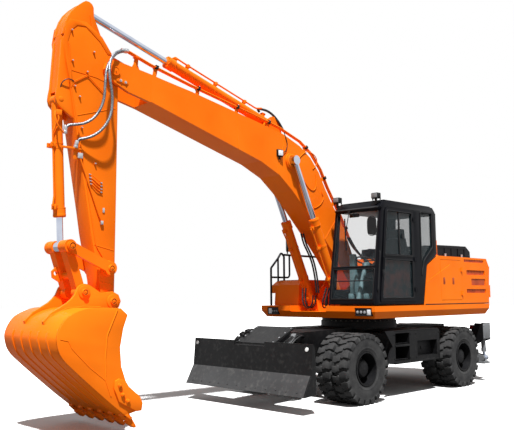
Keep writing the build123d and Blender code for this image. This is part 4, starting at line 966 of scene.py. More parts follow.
# ---- bucket -------------------------------------------------------------------------------------------
def smooth_run(corners, steps=5):
    """A run of corners drawn as one smooth line through all of them."""
    ways = [(b - a).normalized() for a, b in zip([corners[0], *corners[:-1]], [*corners[1:], corners[-1]])]
    run = [corners[0]]
    for (a, b), (leave, reach) in zip(zip(corners, corners[1:]), zip(ways, ways[1:])):
        span = (b - a).length
        for n in range(1, steps + 1):
            t = n / steps
            run.append((1 + 2 * t) * (1 - t) ** 2 * a + t * (1 - t) ** 2 * span * leave
                       + t * t * (3 - 2 * t) * b - t * t * (1 - t) * span * reach)
    return run


def bucket_body():
    """The bucket: its back rolled smooth, cheeks, ears, wear strips, lip and cutters."""
    back = smooth_run([Vector(p) for p in ((5.310, 1.480), (5.560, 1.489), (5.780, 1.478), (5.990, 1.398),
                                           (6.081, 1.302),
                                           (6.133, 1.175), (6.125, 1.080), (6.087, 0.977), (5.995, 0.870),
                                           (5.470, 0.420), (5.230, 0.230))])
    inner = smooth_run([Vector(p) for p in ((5.330, 1.450), (5.550, 1.458), (5.770, 1.448), (5.972, 1.372),
                                            (6.058, 1.290),
                                            (6.104, 1.172), (6.096, 1.092), (6.060, 1.000), (5.975, 0.900),
                                            (5.452, 0.452), (5.200, 0.252))])
    mouth = [(5.040, 0.262), (5.010, 0.290), (5.200, 0.560), (5.290, 0.800), (5.310, 1.020), (5.270, 1.240),
             (5.210, 1.400)]
    ear = [(5.300, 1.462), (5.080, 1.470), (5.045, 1.560), (5.080, 1.640), (5.165, 1.680), (5.330, 1.660),
           (5.480, 1.750), (5.530, 1.770),
           (5.570, 1.774), (5.620, 1.756), (5.650, 1.730), (5.690, 1.640), (5.735, 1.590), (5.790, 1.545),
           (5.890, 1.490), (5.990, 1.435),
           (6.092, 1.335), (6.080, 1.290), (5.975, 1.385), (5.775, 1.463), (5.560, 1.474)]
    cutter = [(5.330, 0.664), (5.250, 0.640), (5.195, 0.560), (5.035, 0.430), (4.995, 0.350), (5.010, 0.262),
              (5.080, 0.262),
              (5.210, 0.330), (5.330, 0.400), (5.400, 0.560), (5.385, 0.640)]
    low, high = BOOM_Y - BUCKET_SIDE, BOOM_Y + BUCKET_SIDE
    pieces = [plate(from_slew(back + inner[::-1]), "y", low + 0.010, high - 0.010, 0.002),
              plate(from_slew([(5.210, 1.400), (5.310, 1.480), (5.330, 1.450), (5.240, 1.380)]), "y",
                    low + 0.010, high - 0.010, 0.004),
              plate(from_slew([(5.230, 0.230), (5.150, 0.168), (5.120, 0.190), (5.200, 0.252)]), "y", low,
                    high, 0.004),
              stick(at(5.165, BOOM_Y - 0.268, 1.560), at(5.165, BOOM_Y + 0.268, 1.560), 0.045, sides=40,
                    edge=0.004)]
    strip = [p for p in back if p.y < 1.25 and p.x > 5.30]
    outside = [p + Vector((min(0.007, 6.1395 - p.x), -0.004)) for p in strip]
    inside = [p - Vector((0.006, -0.004)) for p in strip]
    for n in range(-2, 3):
        pieces.append(plate(from_slew(outside + inside[::-1]), "y", BOOM_Y + 0.212 * n - 0.022,
                            BOOM_Y + 0.212 * n + 0.022, 0.0015))
    for side in (1, -1):
        def between(near, far):
            return sorted((BOOM_Y + side * near, BOOM_Y + side * far))
        pieces.append(plate(from_slew(back + mouth), "y", *between(BUCKET_SIDE - 0.028, BUCKET_SIDE), 0.004))
        pieces.append(plate(from_slew(ear), "y", *between(0.205, 0.250), 0.004))
        for (x, z), radius in (((5.570, 1.672), 0.078), ((5.165, 1.560), 0.085)):
            pieces.append(stick(at(x, BOOM_Y + side * 0.245, z), at(x, BOOM_Y + side * 0.262, z), radius,
                                sides=40, edge=0.004))
        pieces.append(stick(at(5.570, BOOM_Y + side * 0.250, 1.672), at(5.570, BOOM_Y + side * 0.272, 1.672),
                            0.042, sides=32, edge=0.003))
        pieces.append(plate(from_slew(cutter), "y", *between(BUCKET_SIDE, BUCKET_SIDE + 0.026), 0.004))
        for x, z in ((5.330, 0.590), (5.290, 0.480), (5.215, 0.400)):
            pieces.append(stick(at(x, BOOM_Y + side * (BUCKET_SIDE + 0.020), z),
                                at(x, BOOM_Y + side * (BUCKET_SIDE + 0.044), z), 0.024, sides=24, edge=0.004))
    fit(joined(pieces), "bucket_body", "bucket", ORANGE, ["bucket"])


def bucket_dress():
    """Weld beads, bolted cutters, tooth tips with their pins, and the crease on the bucket's cheeks."""
    seams = []
    for side in (1, -1):
        y = BOOM_Y + side * (BUCKET_SIDE + 0.001)
        seams.append(weld(line((5.36, y, 1.46), (5.494, y, 1.171), (5.515, y, 0.897), (5.501, y, 0.653),
                               (5.43, y, 0.47)), 0.008))
        seams.append(weld(line((6.095, y, 1.15), (5.995, y, 1.127), (5.951, y, 1.044), (5.72, y, 0.82),
                               (5.501, y, 0.653)), 0.004))
        ear = BOOM_Y + side * 0.252
        seams.append(weld(line((5.34, ear, 1.49), (5.57, ear, 1.50), (5.79, ear, 1.485), (5.99, ear, 1.405),
                               (6.08, ear, 1.31)), 0.007))
    fit(joined(seams), "bucket_welds", "bucket", ORANGE, angle=60)
    for side, name in ((1, "left"), (-1, "right")):
        places = [at(x, BOOM_Y + side * (BUCKET_SIDE + 0.044), z) for x,
                  z in ((5.330, 0.590), (5.290, 0.480), (5.215, 0.400))]
        bolts(f"cutter_bolts_{name}", "bucket", places, (0, side, 0), 0.019, ORANGE)
    tip = plate([(5.128, 0.196), (5.168, 0.132), (5.074, 0.062), (5.046, 0.076)], "y", -0.047, 0.047, 0.004)
    moves = [Matrix.Translation((SLEW_X, BOOM_Y + y, 0))
             for y in (-0.575, -0.345, -0.115, 0.115, 0.345, 0.575)]
    fit(copied(tip, moves), "tooth_tips", "bucket", ORANGE)
    tooth_pin = stick(Vector((5.205, -0.049, 0.215)), Vector((5.205, 0.049, 0.215)), 0.013, sides=16,
                      edge=0.002)
    fit(copied(tooth_pin, moves), "tooth_pins", "bucket", TRIM)


# ---- housing, deck and tail ---------------------------------------------------------------------------
LOUVRES = ((-2.330, -1.590, 2.205, 2.255), (-2.345, -1.660, 1.974, 2.060), (-2.360, -1.830, 1.785, 1.905),
           (-2.370, -1.650, 1.645, 1.715))


def grilles():
    """Slats of the housing's side grilles, with a sheet behind them, in a darker orange that is painted shade."""
    slats = []
    for side in (1, -1):
        y = side * 1.222
        for x0, x1, z0, z1 in LOUVRES:
            face = y - side * (0.0045 if z1 > 2.144 or (z0 > 1.9 and z1 > 2.0) else 0.0)
            pitch = (x1 - x0) / 12
            slat = slab((-0.005, -0.012, z0 + 0.001), (0.005, 0.012, z1 - 0.001), 0.002, 1)
            slats.append(copied(slat, [Matrix.Translation(at(x0 + n * pitch, face - side * 0.012,
                    0)) @ Matrix.Rotation(radians(35 * side), 4, "Z")
                                       for n in range(1, 12)]))
            lo, hi = sorted((y - side * 0.0215, y - side * 0.0235))
            slats.append(slab(at(x0 + 0.002, lo, z0 + 0.002), at(x1 - 0.002, hi, z1 - 0.002), 0.0005, 1))
    fit(joined(slats), "housing_grilles", "upper", SHADED_ORANGE)


TAIL_R = 2.820


def housing_dress():
    """Latches on the side doors, lid latches, seams and lifting eyes on the tail."""
    for side, name in ((1, "left"), (-1, "right")):
        latches = []
        for x in (-1.17, -0.86):
            latches.append(side_slab(side, x - 0.030, 1.2235, 1.800, x + 0.030, 1.2290, 1.915, 0.008))
            latches.append(side_slab(side, x - 0.014, 1.2280, 1.830, x + 0.014, 1.2340, 1.900, 0.004))
        # the latches take the same painted-shade orange
        fit(joined(latches), f"side_door_latches_{name}", f"side_door_{name}", SHADED_ORANGE)
    clasps = []
    for side in (1, -1):
        for x in (-1.55, -2.15):
            clasps.append(side_slab(side, x - 0.030, 0.853, 2.305, x + 0.030, 0.872, 2.375, 0.006))
            clasps.append(stick(at(x - 0.034, side * 0.868, 2.365), at(x + 0.034, side * 0.868, 2.365), 0.008,
                                sides=16, edge=0.002))
    fit(joined(clasps), "lid_clasps", "hood_lid", ZINC)
    strips = []
    for side in (1, -1):
        strips.append(side_slab(side, -2.46, 1.2215, 1.449, -0.24, 1.2245, 1.463, 0.001))
    for y0, y1 in ((-1.10, -0.30), (0.30, 1.10)):
        strips.append(slab(at(-1.22, y0, 2.289), at(-0.74, y1, 2.296), 0.003))
    fit(joined(strips), "housing_trim", "upper", TRIM)
    # filler cap, grip pads and lid seam on the right-hand box
    cap = stick(at(-0.32, -0.92, 1.884), at(-0.32, -0.92, 1.915), 0.062, sides=40, edge=0.006)
    knob = slab(at(-0.375, -0.932, 1.912), at(-0.265, -0.908, 1.936), 0.006)
    fit(joined([cap, knob]), "filler_cap", "upper", TRIM)
    pads = [slab(at(x, -1.17, 1.884), at(x + 0.26, -0.62, 1.892), 0.003) for x in (-0.05, 0.26, 0.51)]
    fit(joined(pads), "box_grip_pads", "upper", TRIM)
    seams = [slab(at(x, -1.2185, 1.47), at(x + 0.010, -1.2135, 1.86), 0.001) for x in (-0.02, 0.63)]
    seams.append(slab(at(-0.02, -1.2185, 1.845), at(0.63, -1.2135, 1.855), 0.001))
    latch = slab(at(0.28, -1.224, 1.70), at(0.34, -1.214, 1.79), 0.004)
    fit(joined(seams + [latch]), "box_door_seams", "upper", TRIM)
    # the tail: lifting eyes and reflectors
    eyes = []
    for y in (-0.72, 0.72):
        eyes.append(turned_section([(0.020, -0.012), (0.048, -0.012), (0.054, 0.0), (0.048, 0.012),
                                    (0.020, 0.012)], 32))
        eyes[-1].matrix_world = Matrix.Translation(at(-2.60, y, 2.157))
        settle(eyes[-1])
        eyes.append(slab(at(-2.66, y - 0.014, 2.143), at(-2.54, y + 0.014, 2.152), 0.003))
    fit(joined(eyes), "tail_lifting_eyes", "upper", CHARCOAL)
    marks = []
    for y in (-0.98, 0.98):
        x = -(TAIL_R ** 2 - y ** 2) ** 0.5
        mark = slab((-0.007, -0.075, -0.028), (0.006, 0.075, 0.028), 0.004)
        mark.matrix_world = Matrix.Translation(at(x + 0.002, y, 1.675)) @ Matrix.Rotation(atan(-y / x) * -1,
                4, "Z")
        marks.append(settle(mark))
    fit(joined(marks), "tail_reflectors", "upper", REFLECTOR)


def deck_dress():
    """Lamps in the deck's front edge and screws round the slewing ring."""
    front = 1.2
    bezels, lenses, clear = [], [], []
    for y0, y1, outer in ((0.840, 1.150, 1), (-1.070, -0.820, -1)):
        for z in (1.298, 1.404):
            bezels.append(slab(at(front - 0.020, y0, z - 0.006), at(front - 0.004, y1, z + 0.006), 0.002))
        for y in (y0 + 0.006, y1 - 0.006):
            bezels.append(slab(at(front - 0.020, y - 0.006, 1.294), at(front - 0.004, y + 0.006, 1.408),
                               0.002))
        width = (y1 - y0 - 0.024)
        split = 0.70 if y0 > 0 else 0.62
        start = y0 + 0.012 if outer > 0 else y1 - 0.012
        count = 3
        for n in range(count):
            middle = start + outer * width * split * (n + 0.5) / count
            ring = stick(at(front - 0.020, middle, 1.351), at(front - 0.005, middle, 1.351),
                         min(0.036, width * split / count / 2 - 0.003), sides=32, edge=0.003)
            bezels.append(ring)
            lenses.append(stick(at(front - 0.018, middle, 1.351), at(front - 0.002, middle, 1.351),
                                min(0.029, width * split / count / 2 - 0.009), sides=32, edge=0.004))
        a, b = sorted((start + outer * width * (split + 0.03), start + outer * width * 0.98))
        clear.append(slab(at(front - 0.020, a, 1.306), at(front - 0.006, b, 1.396), 0.006))
    fit(joined(bezels), "deck_lamp_frames", "upper", TRIM)
    fit(joined(lenses), "deck_lamp_lenses", "upper", TINTED_LENS)
    fit(joined(clear), "deck_lamp_glasses", "upper", LENS)
    ring = [at(0.632 * cos(2 * pi * n / 40), 0.632 * sin(2 * pi * n / 40), 1.180) for n in range(40)]
    bolts("slew_ring_bolts", "chassis", ring, (0, 0, 1), 0.0115)


# ---- cab ----------------------------------------------------------------------------------------------
CAB_OUT = 1.215
QUARTER_LIGHT = [(-0.165, 1.930), (-0.165, 3.010), (-0.520, 3.010), (-0.520, 2.420), (-0.245, 2.190)]
RIGHT_LIGHT = [(-0.520, 2.420), (-0.520, 3.010), (0.850, 3.010), (1.010, 1.700), (-0.060, 1.700),
               (-0.060, 2.150)]


def screen_x(z):
    """Outer face of the raked windscreen at a height."""
    return 1.160 - 0.215 * (z - 1.600) / 1.400


def gasket(corners, radius=0.010):
    """Rubber bead that follows the edge of an opening all the way round."""
    middle = (corners[0] + corners[-1]) / 2
    return hard_pipe([middle] + list(corners) + [middle], radius, 0.05, sides=3)


def leaned(piece, foot=1.600):
    """Bends a piece drawn upright in the cab's front plane back along the screen's rake above its foot."""
    take(piece)
    bpy.ops.object.mode_set(mode="EDIT")
    bpy.ops.mesh.select_all(action="SELECT")
    bpy.ops.mesh.bisect(plane_co=(0, 0, foot), plane_no=(0, 0, 1))
    bpy.ops.object.mode_set(mode="OBJECT")
    for corner in piece.data.vertices:
        corner.co.x -= max(corner.co.z - foot, 0) * 0.215 / 1.400
    return outward(piece)


def cab_body():
    """The cab's pressed shell: pierced side walls, raked front frame, roof, back and sill."""
    side = from_slew([(1.160, 1.466), (1.160, 1.600), (0.945, 3.000), (0.862, 3.112), (-0.560, 3.112),
                      (-0.640, 3.040), (-0.668, 2.310),
                      (-0.340, 2.125), (-0.210, 1.466)])
    doorway = from_slew([(0.050, 1.505), (1.040, 1.505), (1.040, 1.600), (0.870, 2.960), (0.830, 3.010),
                         (0.050, 3.010)])
    quarter = from_slew(QUARTER_LIGHT)
    right = from_slew(RIGHT_LIGHT)
    left_wall = plate(side, "y", 1.171, 1.2145, 0.006, [doorway, quarter])
    right_wall = plate(side, "y", 0.2855, 0.329, 0.006, [right])
    upper = [(0.342, 2.068), (1.158, 2.068), (1.158, 2.962), (0.342, 2.962)]
    lower = [(0.342, 1.552), (1.158, 1.552), (1.158, 2.030), (0.342, 2.030)]
    front = plate([(0.286, 1.466), (1.214, 1.466), (1.214, 3.010), (0.286, 3.010)], "x", at(1.116, 0, 0).x,
                  at(1.1595, 0, 0).x, 0.006, [upper, lower])
    roof = plate(from_slew([(0.972, 2.972), (0.976, 3.004), (0.880, 3.112), (-0.555, 3.118), (-0.648, 3.045),
                            (-0.652, 2.985)]), "y", 0.292, 1.208, 0.022)
    gutter = plate(from_slew([(0.968, 2.992), (0.972, 3.008), (-0.650, 3.022), (-0.651, 3.004)]), "y", 0.2855,
                   1.2150, 0.005)
    rear = plate([(0.290, 2.300), (1.210, 2.300), (1.210, 3.020), (0.290, 3.020)], "x", at(-0.668, 0, 0).x,
                 at(-0.626, 0, 0).x, 0.004,
                 [[(0.380, 2.400), (1.120, 2.400), (1.120, 2.990), (0.380, 2.990)]])
    low_back = plate(from_slew([(-0.667, 2.312), (-0.340, 2.126), (-0.211, 1.467), (-0.166, 1.467),
                                (-0.300, 2.156), (-0.628, 2.338)]), "y", 0.290, 1.210, 0.003)
    sill = slab(at(-0.205, 0.290, 1.466), at(1.150, 1.210, 1.512), 0.004)
    fit(joined([left_wall, right_wall, leaned(front), roof, gutter, rear, low_back, sill]), "cab_body",
        "upper", CAB_BLACK, ["cab_shell"], angle=30)
    x0, x1 = at(1.132, 0, 0).x, at(1.138, 0, 0).x
    panes = [leaned(plate([(y0, z0), (y1, z0), (y1, z1), (y0, z1)], "x", x0, x1, 0.001))
             for y0, y1, z0, z1 in ((0.338, 1.162, 2.064, 2.966), (0.338, 1.162, 1.548, 2.034))]
    fit(joined(panes), "windscreen", "upper", CLEAR_GLASS, ["cab_glass"])
    # the quarter pane likewise: tint and painted shade of the cab's inside
    fit(plate(quarter, "y", 1.195, 1.201, 0.001), "cab_quarter_pane", "upper", GLASS)
    others = [plate(right, "y", 0.300, 0.306, 0.001),
              plate([(0.378, 2.398), (1.122, 2.398), (1.122, 2.992), (0.378, 2.992)], "x", at(-0.652, 0, 0).x,
                    at(-0.646, 0, 0).x, 0.001)]
    fit(joined(others), "cab_side_panes", "upper", CLEAR_GLASS)


def cab_dress():
    """Window rubbers, wiper, visor, rails, roof panel, roof lamps and mirror glasses."""
    rubbers = []
    for z0, z1 in ((1.600, 2.030), (2.068, 2.962)):
        foot = [at(screen_x(z0), 0.342, z0), at(screen_x(z0), 1.158, z0)]
        if z0 == 1.600:
            foot = [at(1.160, 0.342, 1.600), at(1.160, 0.342, 1.552), at(1.160, 1.158, 1.552),
                    at(1.160, 1.158, 1.600)]
        rubbers.append(gasket(foot + [at(screen_x(z1), 1.158, z1), at(screen_x(z1), 0.342, z1)], 0.010))
    rubbers.append(gasket([at(x, CAB_OUT + 0.001, z) for x, z in QUARTER_LIGHT], 0.010))
    rubbers.append(gasket([at(x, 0.284, z) for x, z in RIGHT_LIGHT], 0.010))
    rubbers.append(gasket([at(-0.662, y, z) for y,
                           z in ((0.38, 2.40), (1.12, 2.40), (1.12, 2.99), (0.38, 2.99))], 0.010))
    fit(joined(rubbers), "cab_window_rubbers", "upper", TRIM, angle=50)
    upper = [(0.120, 2.240), (0.120, 2.960), (0.800, 2.960), (0.815, 2.940), (0.905, 2.240)]
    lower = [(0.120, 1.570), (0.120, 2.180), (0.912, 2.180), (0.985, 1.600), (0.985, 1.570)]
    door = [gasket([at(x, CAB_OUT + 0.012, z) for x, z in light], 0.009) for light in (upper, lower)]
    rail = [slab(at(0.465, CAB_OUT - 0.012, 2.250), at(0.495, CAB_OUT + 0.010, 2.950), 0.003),
            slab(at(0.125, CAB_OUT - 0.012, 2.248), at(0.895, CAB_OUT + 0.006, 2.268), 0.003),
            slab(at(0.380, CAB_OUT + 0.004, 2.520), at(0.412, CAB_OUT + 0.018, 2.600), 0.004)]
    fit(joined(door + rail), "cab_door_rubbers", "cab_door", TRIM, angle=50)
    lining = plate(from_slew([(0.130, 1.580), (0.130, 2.170), (0.908, 2.170), (0.978, 1.580)]), "y",
                   CAB_OUT - 0.050, CAB_OUT - 0.042, 0.002)
    fit(lining, "cab_door_lining", "cab_door", DOOR_LINING)
    lock = [slab(at(0.935, CAB_OUT + 0.010, 1.900), at(0.985, CAB_OUT + 0.024, 2.010), 0.006),
            slab(at(0.944, CAB_OUT + 0.022, 1.925), at(0.976, CAB_OUT + 0.030, 1.985), 0.004)]
    fit(joined(lock), "cab_door_lock", "cab_door", TRIM)

    # wiper: motor cap on the header, arm and blade down the upper screen
    def on_screen(y, z, proud=0.02):
        return at(screen_x(z) + proud, y, z)
    wiper = [stick(on_screen(0.60, 2.975, 0.0), on_screen(0.60, 2.975, 0.045), 0.028, sides=24, edge=0.005),
             hard_pipe([on_screen(0.60, 2.975, 0.035), on_screen(0.585, 2.80, 0.040),
                        on_screen(0.55, 2.60, 0.032)], 0.007, 0.05, 3),
             slab((-0.004, -0.010, -0.27), (0.010, 0.010, 0.27), 0.003)]
    wiper_blade = wiper.pop()
    wiper_blade.matrix_world = Matrix.Translation(on_screen(0.55, 2.60,
            0.018)) @ Matrix.Rotation(-atan(0.215 / 1.4), 4, "Y") @ Matrix.Rotation(radians(9), 4, "X")
    wiper.append(settle(wiper_blade))
    fit(joined(wiper), "windscreen_wiper", "upper", TRIM)
    # visor ledge over the screen, guard rail low on it, and the driver's small mirror inside
    ledge = plate([(x + SLEW_X, z) for x,
                   z in ((0.945, 2.995), (0.995, 2.985), (1.000, 3.000), (0.905, 3.055))], "y", 0.330, 1.170,
                   0.004)
    inside_mirror = slab(at(0.915, 0.560, 2.880), at(0.930, 0.760, 2.940), 0.006)
    stay = stick(at(0.930, 0.660, 2.93), at(0.945, 0.660, 2.985), 0.008, sides=12, edge=0.002)
    fit(joined([ledge, inside_mirror, stay]), "cab_visor", "upper", TRIM)
    rails = [hard_pipe([at(screen_x(1.84) + 0.005, 0.40, 1.84), at(screen_x(1.84) + 0.035, 0.42, 1.84),
                        at(screen_x(1.84) + 0.035, 1.08, 1.84),
                        at(screen_x(1.84) + 0.005, 1.10, 1.84)], 0.009, 0.04),
             hard_pipe([at(1.10, CAB_OUT - 0.002, 1.66), at(1.125, CAB_OUT + 0.024, 1.70),
                        at(1.05, CAB_OUT + 0.024, 2.28), at(1.03, CAB_OUT - 0.002, 2.30)], 0.010, 0.05)]
    fit(joined(rails), "cab_grab_rails", "upper", TRIM)
    # pressed roof panel with its hatch
    roof = slab(at(-0.54, 0.31, 3.112), at(0.84, 1.19, 3.134), 0.010)
    hatch = slab(at(0.02, 0.46, 3.130), at(0.62, 1.04, 3.146), 0.008)
    channel = [slab(at(x, 0.40, 3.128), at(x + 0.05, 1.10, 3.142), 0.006) for x in (-0.44, -0.32, -0.20)]
    fit(joined([roof, hatch] + channel), "cab_roof_panel", "upper", CAB_BLACK)
    shells, glasses = [], []
    for y in (0.330, 1.110):
        hood = slab(at(0.896, y - 0.065, 3.145), at(0.988, y + 0.065, 3.236), 0.012)
        shells += [hood, stick(at(0.93, y - 0.075, 3.19), at(0.93, y + 0.075, 3.19), 0.010, sides=16,
                               edge=0.002),
                   slab(at(0.915, y - 0.074, 3.12), at(0.945, y - 0.068, 3.20), 0.002),
                   slab(at(0.915, y + 0.068, 3.12), at(0.945, y + 0.074, 3.20), 0.002)]
        glasses.append(slab(at(0.984, y - 0.053, 3.157), at(0.993, y + 0.053, 3.224), 0.006))
    fit(joined(shells), "roof_lamp_shells", "upper", TRIM)
    fit(joined(glasses), "roof_lamp_glasses", "upper", COVER_GREY)
    # mirror glasses on the sides that face the seat, with a bead round each head
    for name, centre, angle in (("right", (0.570, -1.165, 2.560), -40), ("left", (1.150, 1.165, 2.690), 15)):
        place = Matrix.Translation(at(*centre)) @ Matrix.Rotation(radians(angle), 4, "Z")
        oval = [(0.058 * cos(a), 0.078 + 0.058 * sin(a)) for a in [pi * n / 10 for n in range(11)]]
        oval += [(-u, -v) for u, v in oval]
        glass = plate(oval, "x", -0.0225, -0.0195, 0.001)
        glass.matrix_world = place
        fit(settle(glass), f"mirror_glass_{name}", "upper", CHROME)
        bead = tube([place @ Vector((0.0, 1.19 * u, 1.13 * v)) for u, v in oval + oval[:1]], 0.006, sides=3)
        fit(bead, f"mirror_bead_{name}", "upper", TRIM)


def cushion(low, high, crown, lean=0.0):
    """An upholstered pad: a subdivided block whose middle is crowned and whose edges are rolled."""
    clear_selection()
    low, high = Vector(low), Vector(high)
    bpy.ops.mesh.primitive_cube_add(size=1, location=(0, 0, 0), scale=high - low)
    pad = settle(bpy.context.object)
    work(pad, "BEVEL", width=min(high - low) * 0.22, segments=2, limit_method="NONE")
    work(pad, "SUBSURF", levels=2, render_levels=2)
    half = (high - low) / 2
    for corner in pad.data.vertices:
        swell = (1 - (corner.co.x / half.x) ** 2) * (1 - (corner.co.y / half.y) ** 2)
        corner.co.z += crown * max(swell, 0) * (1 if corner.co.z > 0 else 0)
        corner.co.x *= 1 - 0.03 * (corner.co.y / half.y) ** 2
    pad.matrix_world = Matrix.Translation((low + high) / 2) @ Matrix.Rotation(lean, 4, "Y")
    return settle(pad)


def cab_interior():
    """Floor mat, seat, consoles with their control levers, steering column and wheel."""
    floor = slab(at(-0.150, 0.350, 1.512), at(1.095, 1.150, 1.540), 0.005)
    plinth = slab(at(0.070, 0.620, 1.538), at(0.410, 0.900, 1.900), 0.020)
    panels = [floor, plinth, slab(at(0.060, 0.352, 1.540), at(0.700, 0.484, 2.078), 0.025),
              slab(at(0.060, 1.036, 1.895), at(0.560, 1.139, 2.058), 0.022),
              slab(at(0.120, 1.036, 1.540), at(0.420, 1.139, 1.900), 0.012),
              stick(at(0.980, 0.750, 1.540), at(0.765, 0.750, 2.135), 0.042, sides=24, far_radius=0.034),
              slab(at(0.720, 0.690, 2.060), at(0.790, 0.810, 2.150), 0.015),
              slab(at(0.640, 0.360, 2.070), at(0.700, 0.480, 2.300), 0.020),
              slab(at(0.860, 0.560, 1.540), at(1.000, 0.640, 1.640), 0.012),
              slab(at(0.860, 0.860, 1.540), at(1.000, 0.940, 1.640), 0.012)]
    fit(joined(panels), "cab_consoles", "upper", PANEL_TEAL, ["cab_interior"])
    wheel_ = turned_section([(0.171 + 0.013 * cos(a), 0.013 * sin(a))
                             for a in [2 * pi * n / 10 for n in range(10)]], 48)
    spokes = [slab((-0.012, -0.006, -0.172), (0.012, 0.006, 0.0), 0.003),
              slab((-0.165, -0.006, -0.012), (0.165, 0.006, 0.012), 0.003),
              stick(Vector((0, -0.014, 0)), Vector((0, 0.016, 0)), 0.045, sides=24, edge=0.006)]
    tipped = Matrix.Translation(at(0.752, 0.750, 2.172)) @ Matrix.Rotation(radians(-20), 4,
            "Y") @ Matrix.Rotation(radians(90), 4, "X")
    steering = joined([wheel_] + spokes)
    steering.matrix_world = tipped
    levers_ = []
    for y in (0.420, 1.085):
        base = 2.075 if y < 0.5 else 2.055
        levers_ += [stick(at(0.560 if y < 0.5 else 0.47, y, base),
                          at(0.575 if y < 0.5 else 0.485, y, base + 0.10), 0.011, sides=16),
                    stick(at(0.560 if y < 0.5 else 0.47, y, base),
                          at(0.560 if y < 0.5 else 0.47, y, base + 0.035), 0.034, sides=24, far_radius=0.016),
                    stick(at(0.573 if y < 0.5 else 0.483, y, base + 0.09),
                          at(0.590 if y < 0.5 else 0.50, y, base + 0.19), 0.022, sides=20, edge=0.010)]
    fit(joined([settle(steering)] + levers_), "cab_controls", "upper", TRIM)
    pads = [(cushion(at(0.000, 0.505, 1.905), at(0.500, 1.015, 2.020), 0.018), "seat_cushion"),
            (cushion((-0.30, 0.515, 2.010), (0.27, 1.005, 2.125), 0.016), "seat_back")]
    back = pads[1][0]
    back.matrix_world = Matrix.Translation(at(-0.055, 0.760, 2.300)) @ Matrix.Rotation(radians(-79), 4,
            "Y") @ Matrix.Translation((0.015, -0.760, -2.0675))
    settle(back)
    head = cushion((-0.09, -0.14, -0.045), (0.09, 0.14, 0.045), 0.008)
    head.matrix_world = Matrix.Translation(at(-0.135, 0.760, 2.655)) @ Matrix.Rotation(radians(-83), 4, "Y")
    pads.append((settle(head), "seat_headrest"))
    for pad, name in pads:
        fit(pad, name, "upper", SEAT_CLOTH, angle=80)


# ---- blade, steps and stabilisers ---------------------------------------------------------------------
def blade_dress():
    """Bolted wear edge, corner marks, cover screws and knobs, and the feed lines under the cover."""
    # the wear edge, the skin over the lower face and the edge bolts take the lighter grey: painted light where the
    # blade's lower part turns up to the sun
    edge_ = plate(from_slew([(2.888, 0.250), (2.832, 0.352), (2.840, 0.356), (2.898, 0.252)]), "y", -1.232,
                  1.232, 0.002)
    fit(edge_, "blade_wear_edge", "blade", BLADE_GREY_PAINTED_LIGHT)
    lower_face = plate(from_slew([(2.8325, 0.3525), (2.7350, 0.5275), (2.7385, 0.5295), (2.8360, 0.3545)]),
                       "y", -1.229, 1.229, 0.001)
    fit(lower_face, "blade_lower_face_painted_light", "blade", BLADE_GREY_PAINTED_LIGHT)
    out = Vector((0.874, 0, 0.486))
    places = [at(2.866, y / 10, 0.305) for y in range(-11, 12, 2)]
    bolts("wear_edge_bolts", "blade", places, out, 0.011, BLADE_GREY_PAINTED_LIGHT)
    marks = []
    for y in (-1.180, 1.150):
        marks.append(stick(at(2.700, y, 0.875), at(2.7155, y, 0.879), 0.030, sides=32, edge=0.003))
    fit(joined(marks), "blade_marks", "blade", WHITE_MARK)
    knobs = []
    for x, z in ((2.33, 1.055), (2.44, 1.005), (2.55, 0.950), (2.63, 0.860)):
        knobs.append(stick(at(x, -0.385, z - 0.02), at(x + 0.015, -0.385, z + 0.022), 0.022, sides=20,
                           edge=0.008))
    fit(joined(knobs), "cover_knobs", "blade", TRIM)
    screws = [at(2.16 + 0.40 * n / 3, side * 0.36, 1.1405 - (0.04 + 0.40 * n / 3) * 0.46875)
              for n in range(4) for side in (1, -1)]
    bolts("cover_screws", "blade", screws, (0.4244, 0, 0.9055), 0.010, ZINC)
    top = [slab(at(2.672, y0, 0.940), at(2.702, y1, 0.9485), 0.002) for y0,
           y1 in ((-1.236, -0.33), (0.33, 1.236))]
    ribs = [slab(at(2.662, y - 0.008, 0.43), at(2.690, y + 0.008, 0.905), 0.003)
            for y in (-1.05, -0.72, 0.72, 1.05)]
    fit(joined(top + ribs), "blade_ribs", "blade", BLADE_DARK)
    feeds = []
    for side in (1, -1):
        for n in range(2):
            y = side * (0.415 + 0.03 * n)
            feeds.append(tube(line((1.905, y * 0.9, 0.975), (1.98, y, 1.02), (2.12, y, 1.01 - 0.03 * n),
                                   (2.24, y, 0.90), (2.30, y * 0.94, 0.84)), 0.012))
    fit(joined(feeds), "blade_cylinder_hoses", "blade_barrels", HOSE_BLACK)


def step_dress():
    """Grip rails, lid seams, latches and the bottom rail of the step boxes."""
    rails, trims = [], []
    for side in (1, -1):
        rails += [side_slab(side, -0.755, 1.148, 0.521, 0.60, 1.158, 0.556),
                  side_slab(side, 0.165, 1.148, 0.792, 0.580, 1.158, 0.822),
                  side_slab(side, -0.70, 1.148, 1.036, 0.56, 1.156, 1.050)]
        trims += [side_slab(side, -0.655, 1.030, 0.625, -0.075, 1.034, 0.845),
                  side_slab(side, -0.40, 1.032, 0.70, -0.33, 1.046, 0.76, 0.006)]
        for z in (0.590, 0.843):
            for x in (0.215, 0.265, 0.315, 0.365, 0.415, 0.465, 0.515):
                trims.append(side_slab(side, x - 0.008, 0.905, z - 0.004, x + 0.008, 1.135, z + 0.004, 0.002))
    fit(joined(rails), "step_rails", "chassis", CHARCOAL)
    fit(joined(trims), "step_grips", "chassis", TRIM)
    for side, name in ((1, "left"), (-1, "right")):
        places = [at(x, side * 1.150, z) for x in (-0.735, -0.03, 0.14, 0.60) for z in (0.60, 0.98)]
        bolts(f"step_box_bolts_{name}", "chassis", places, (0, side, 0), 0.010, CHARCOAL)


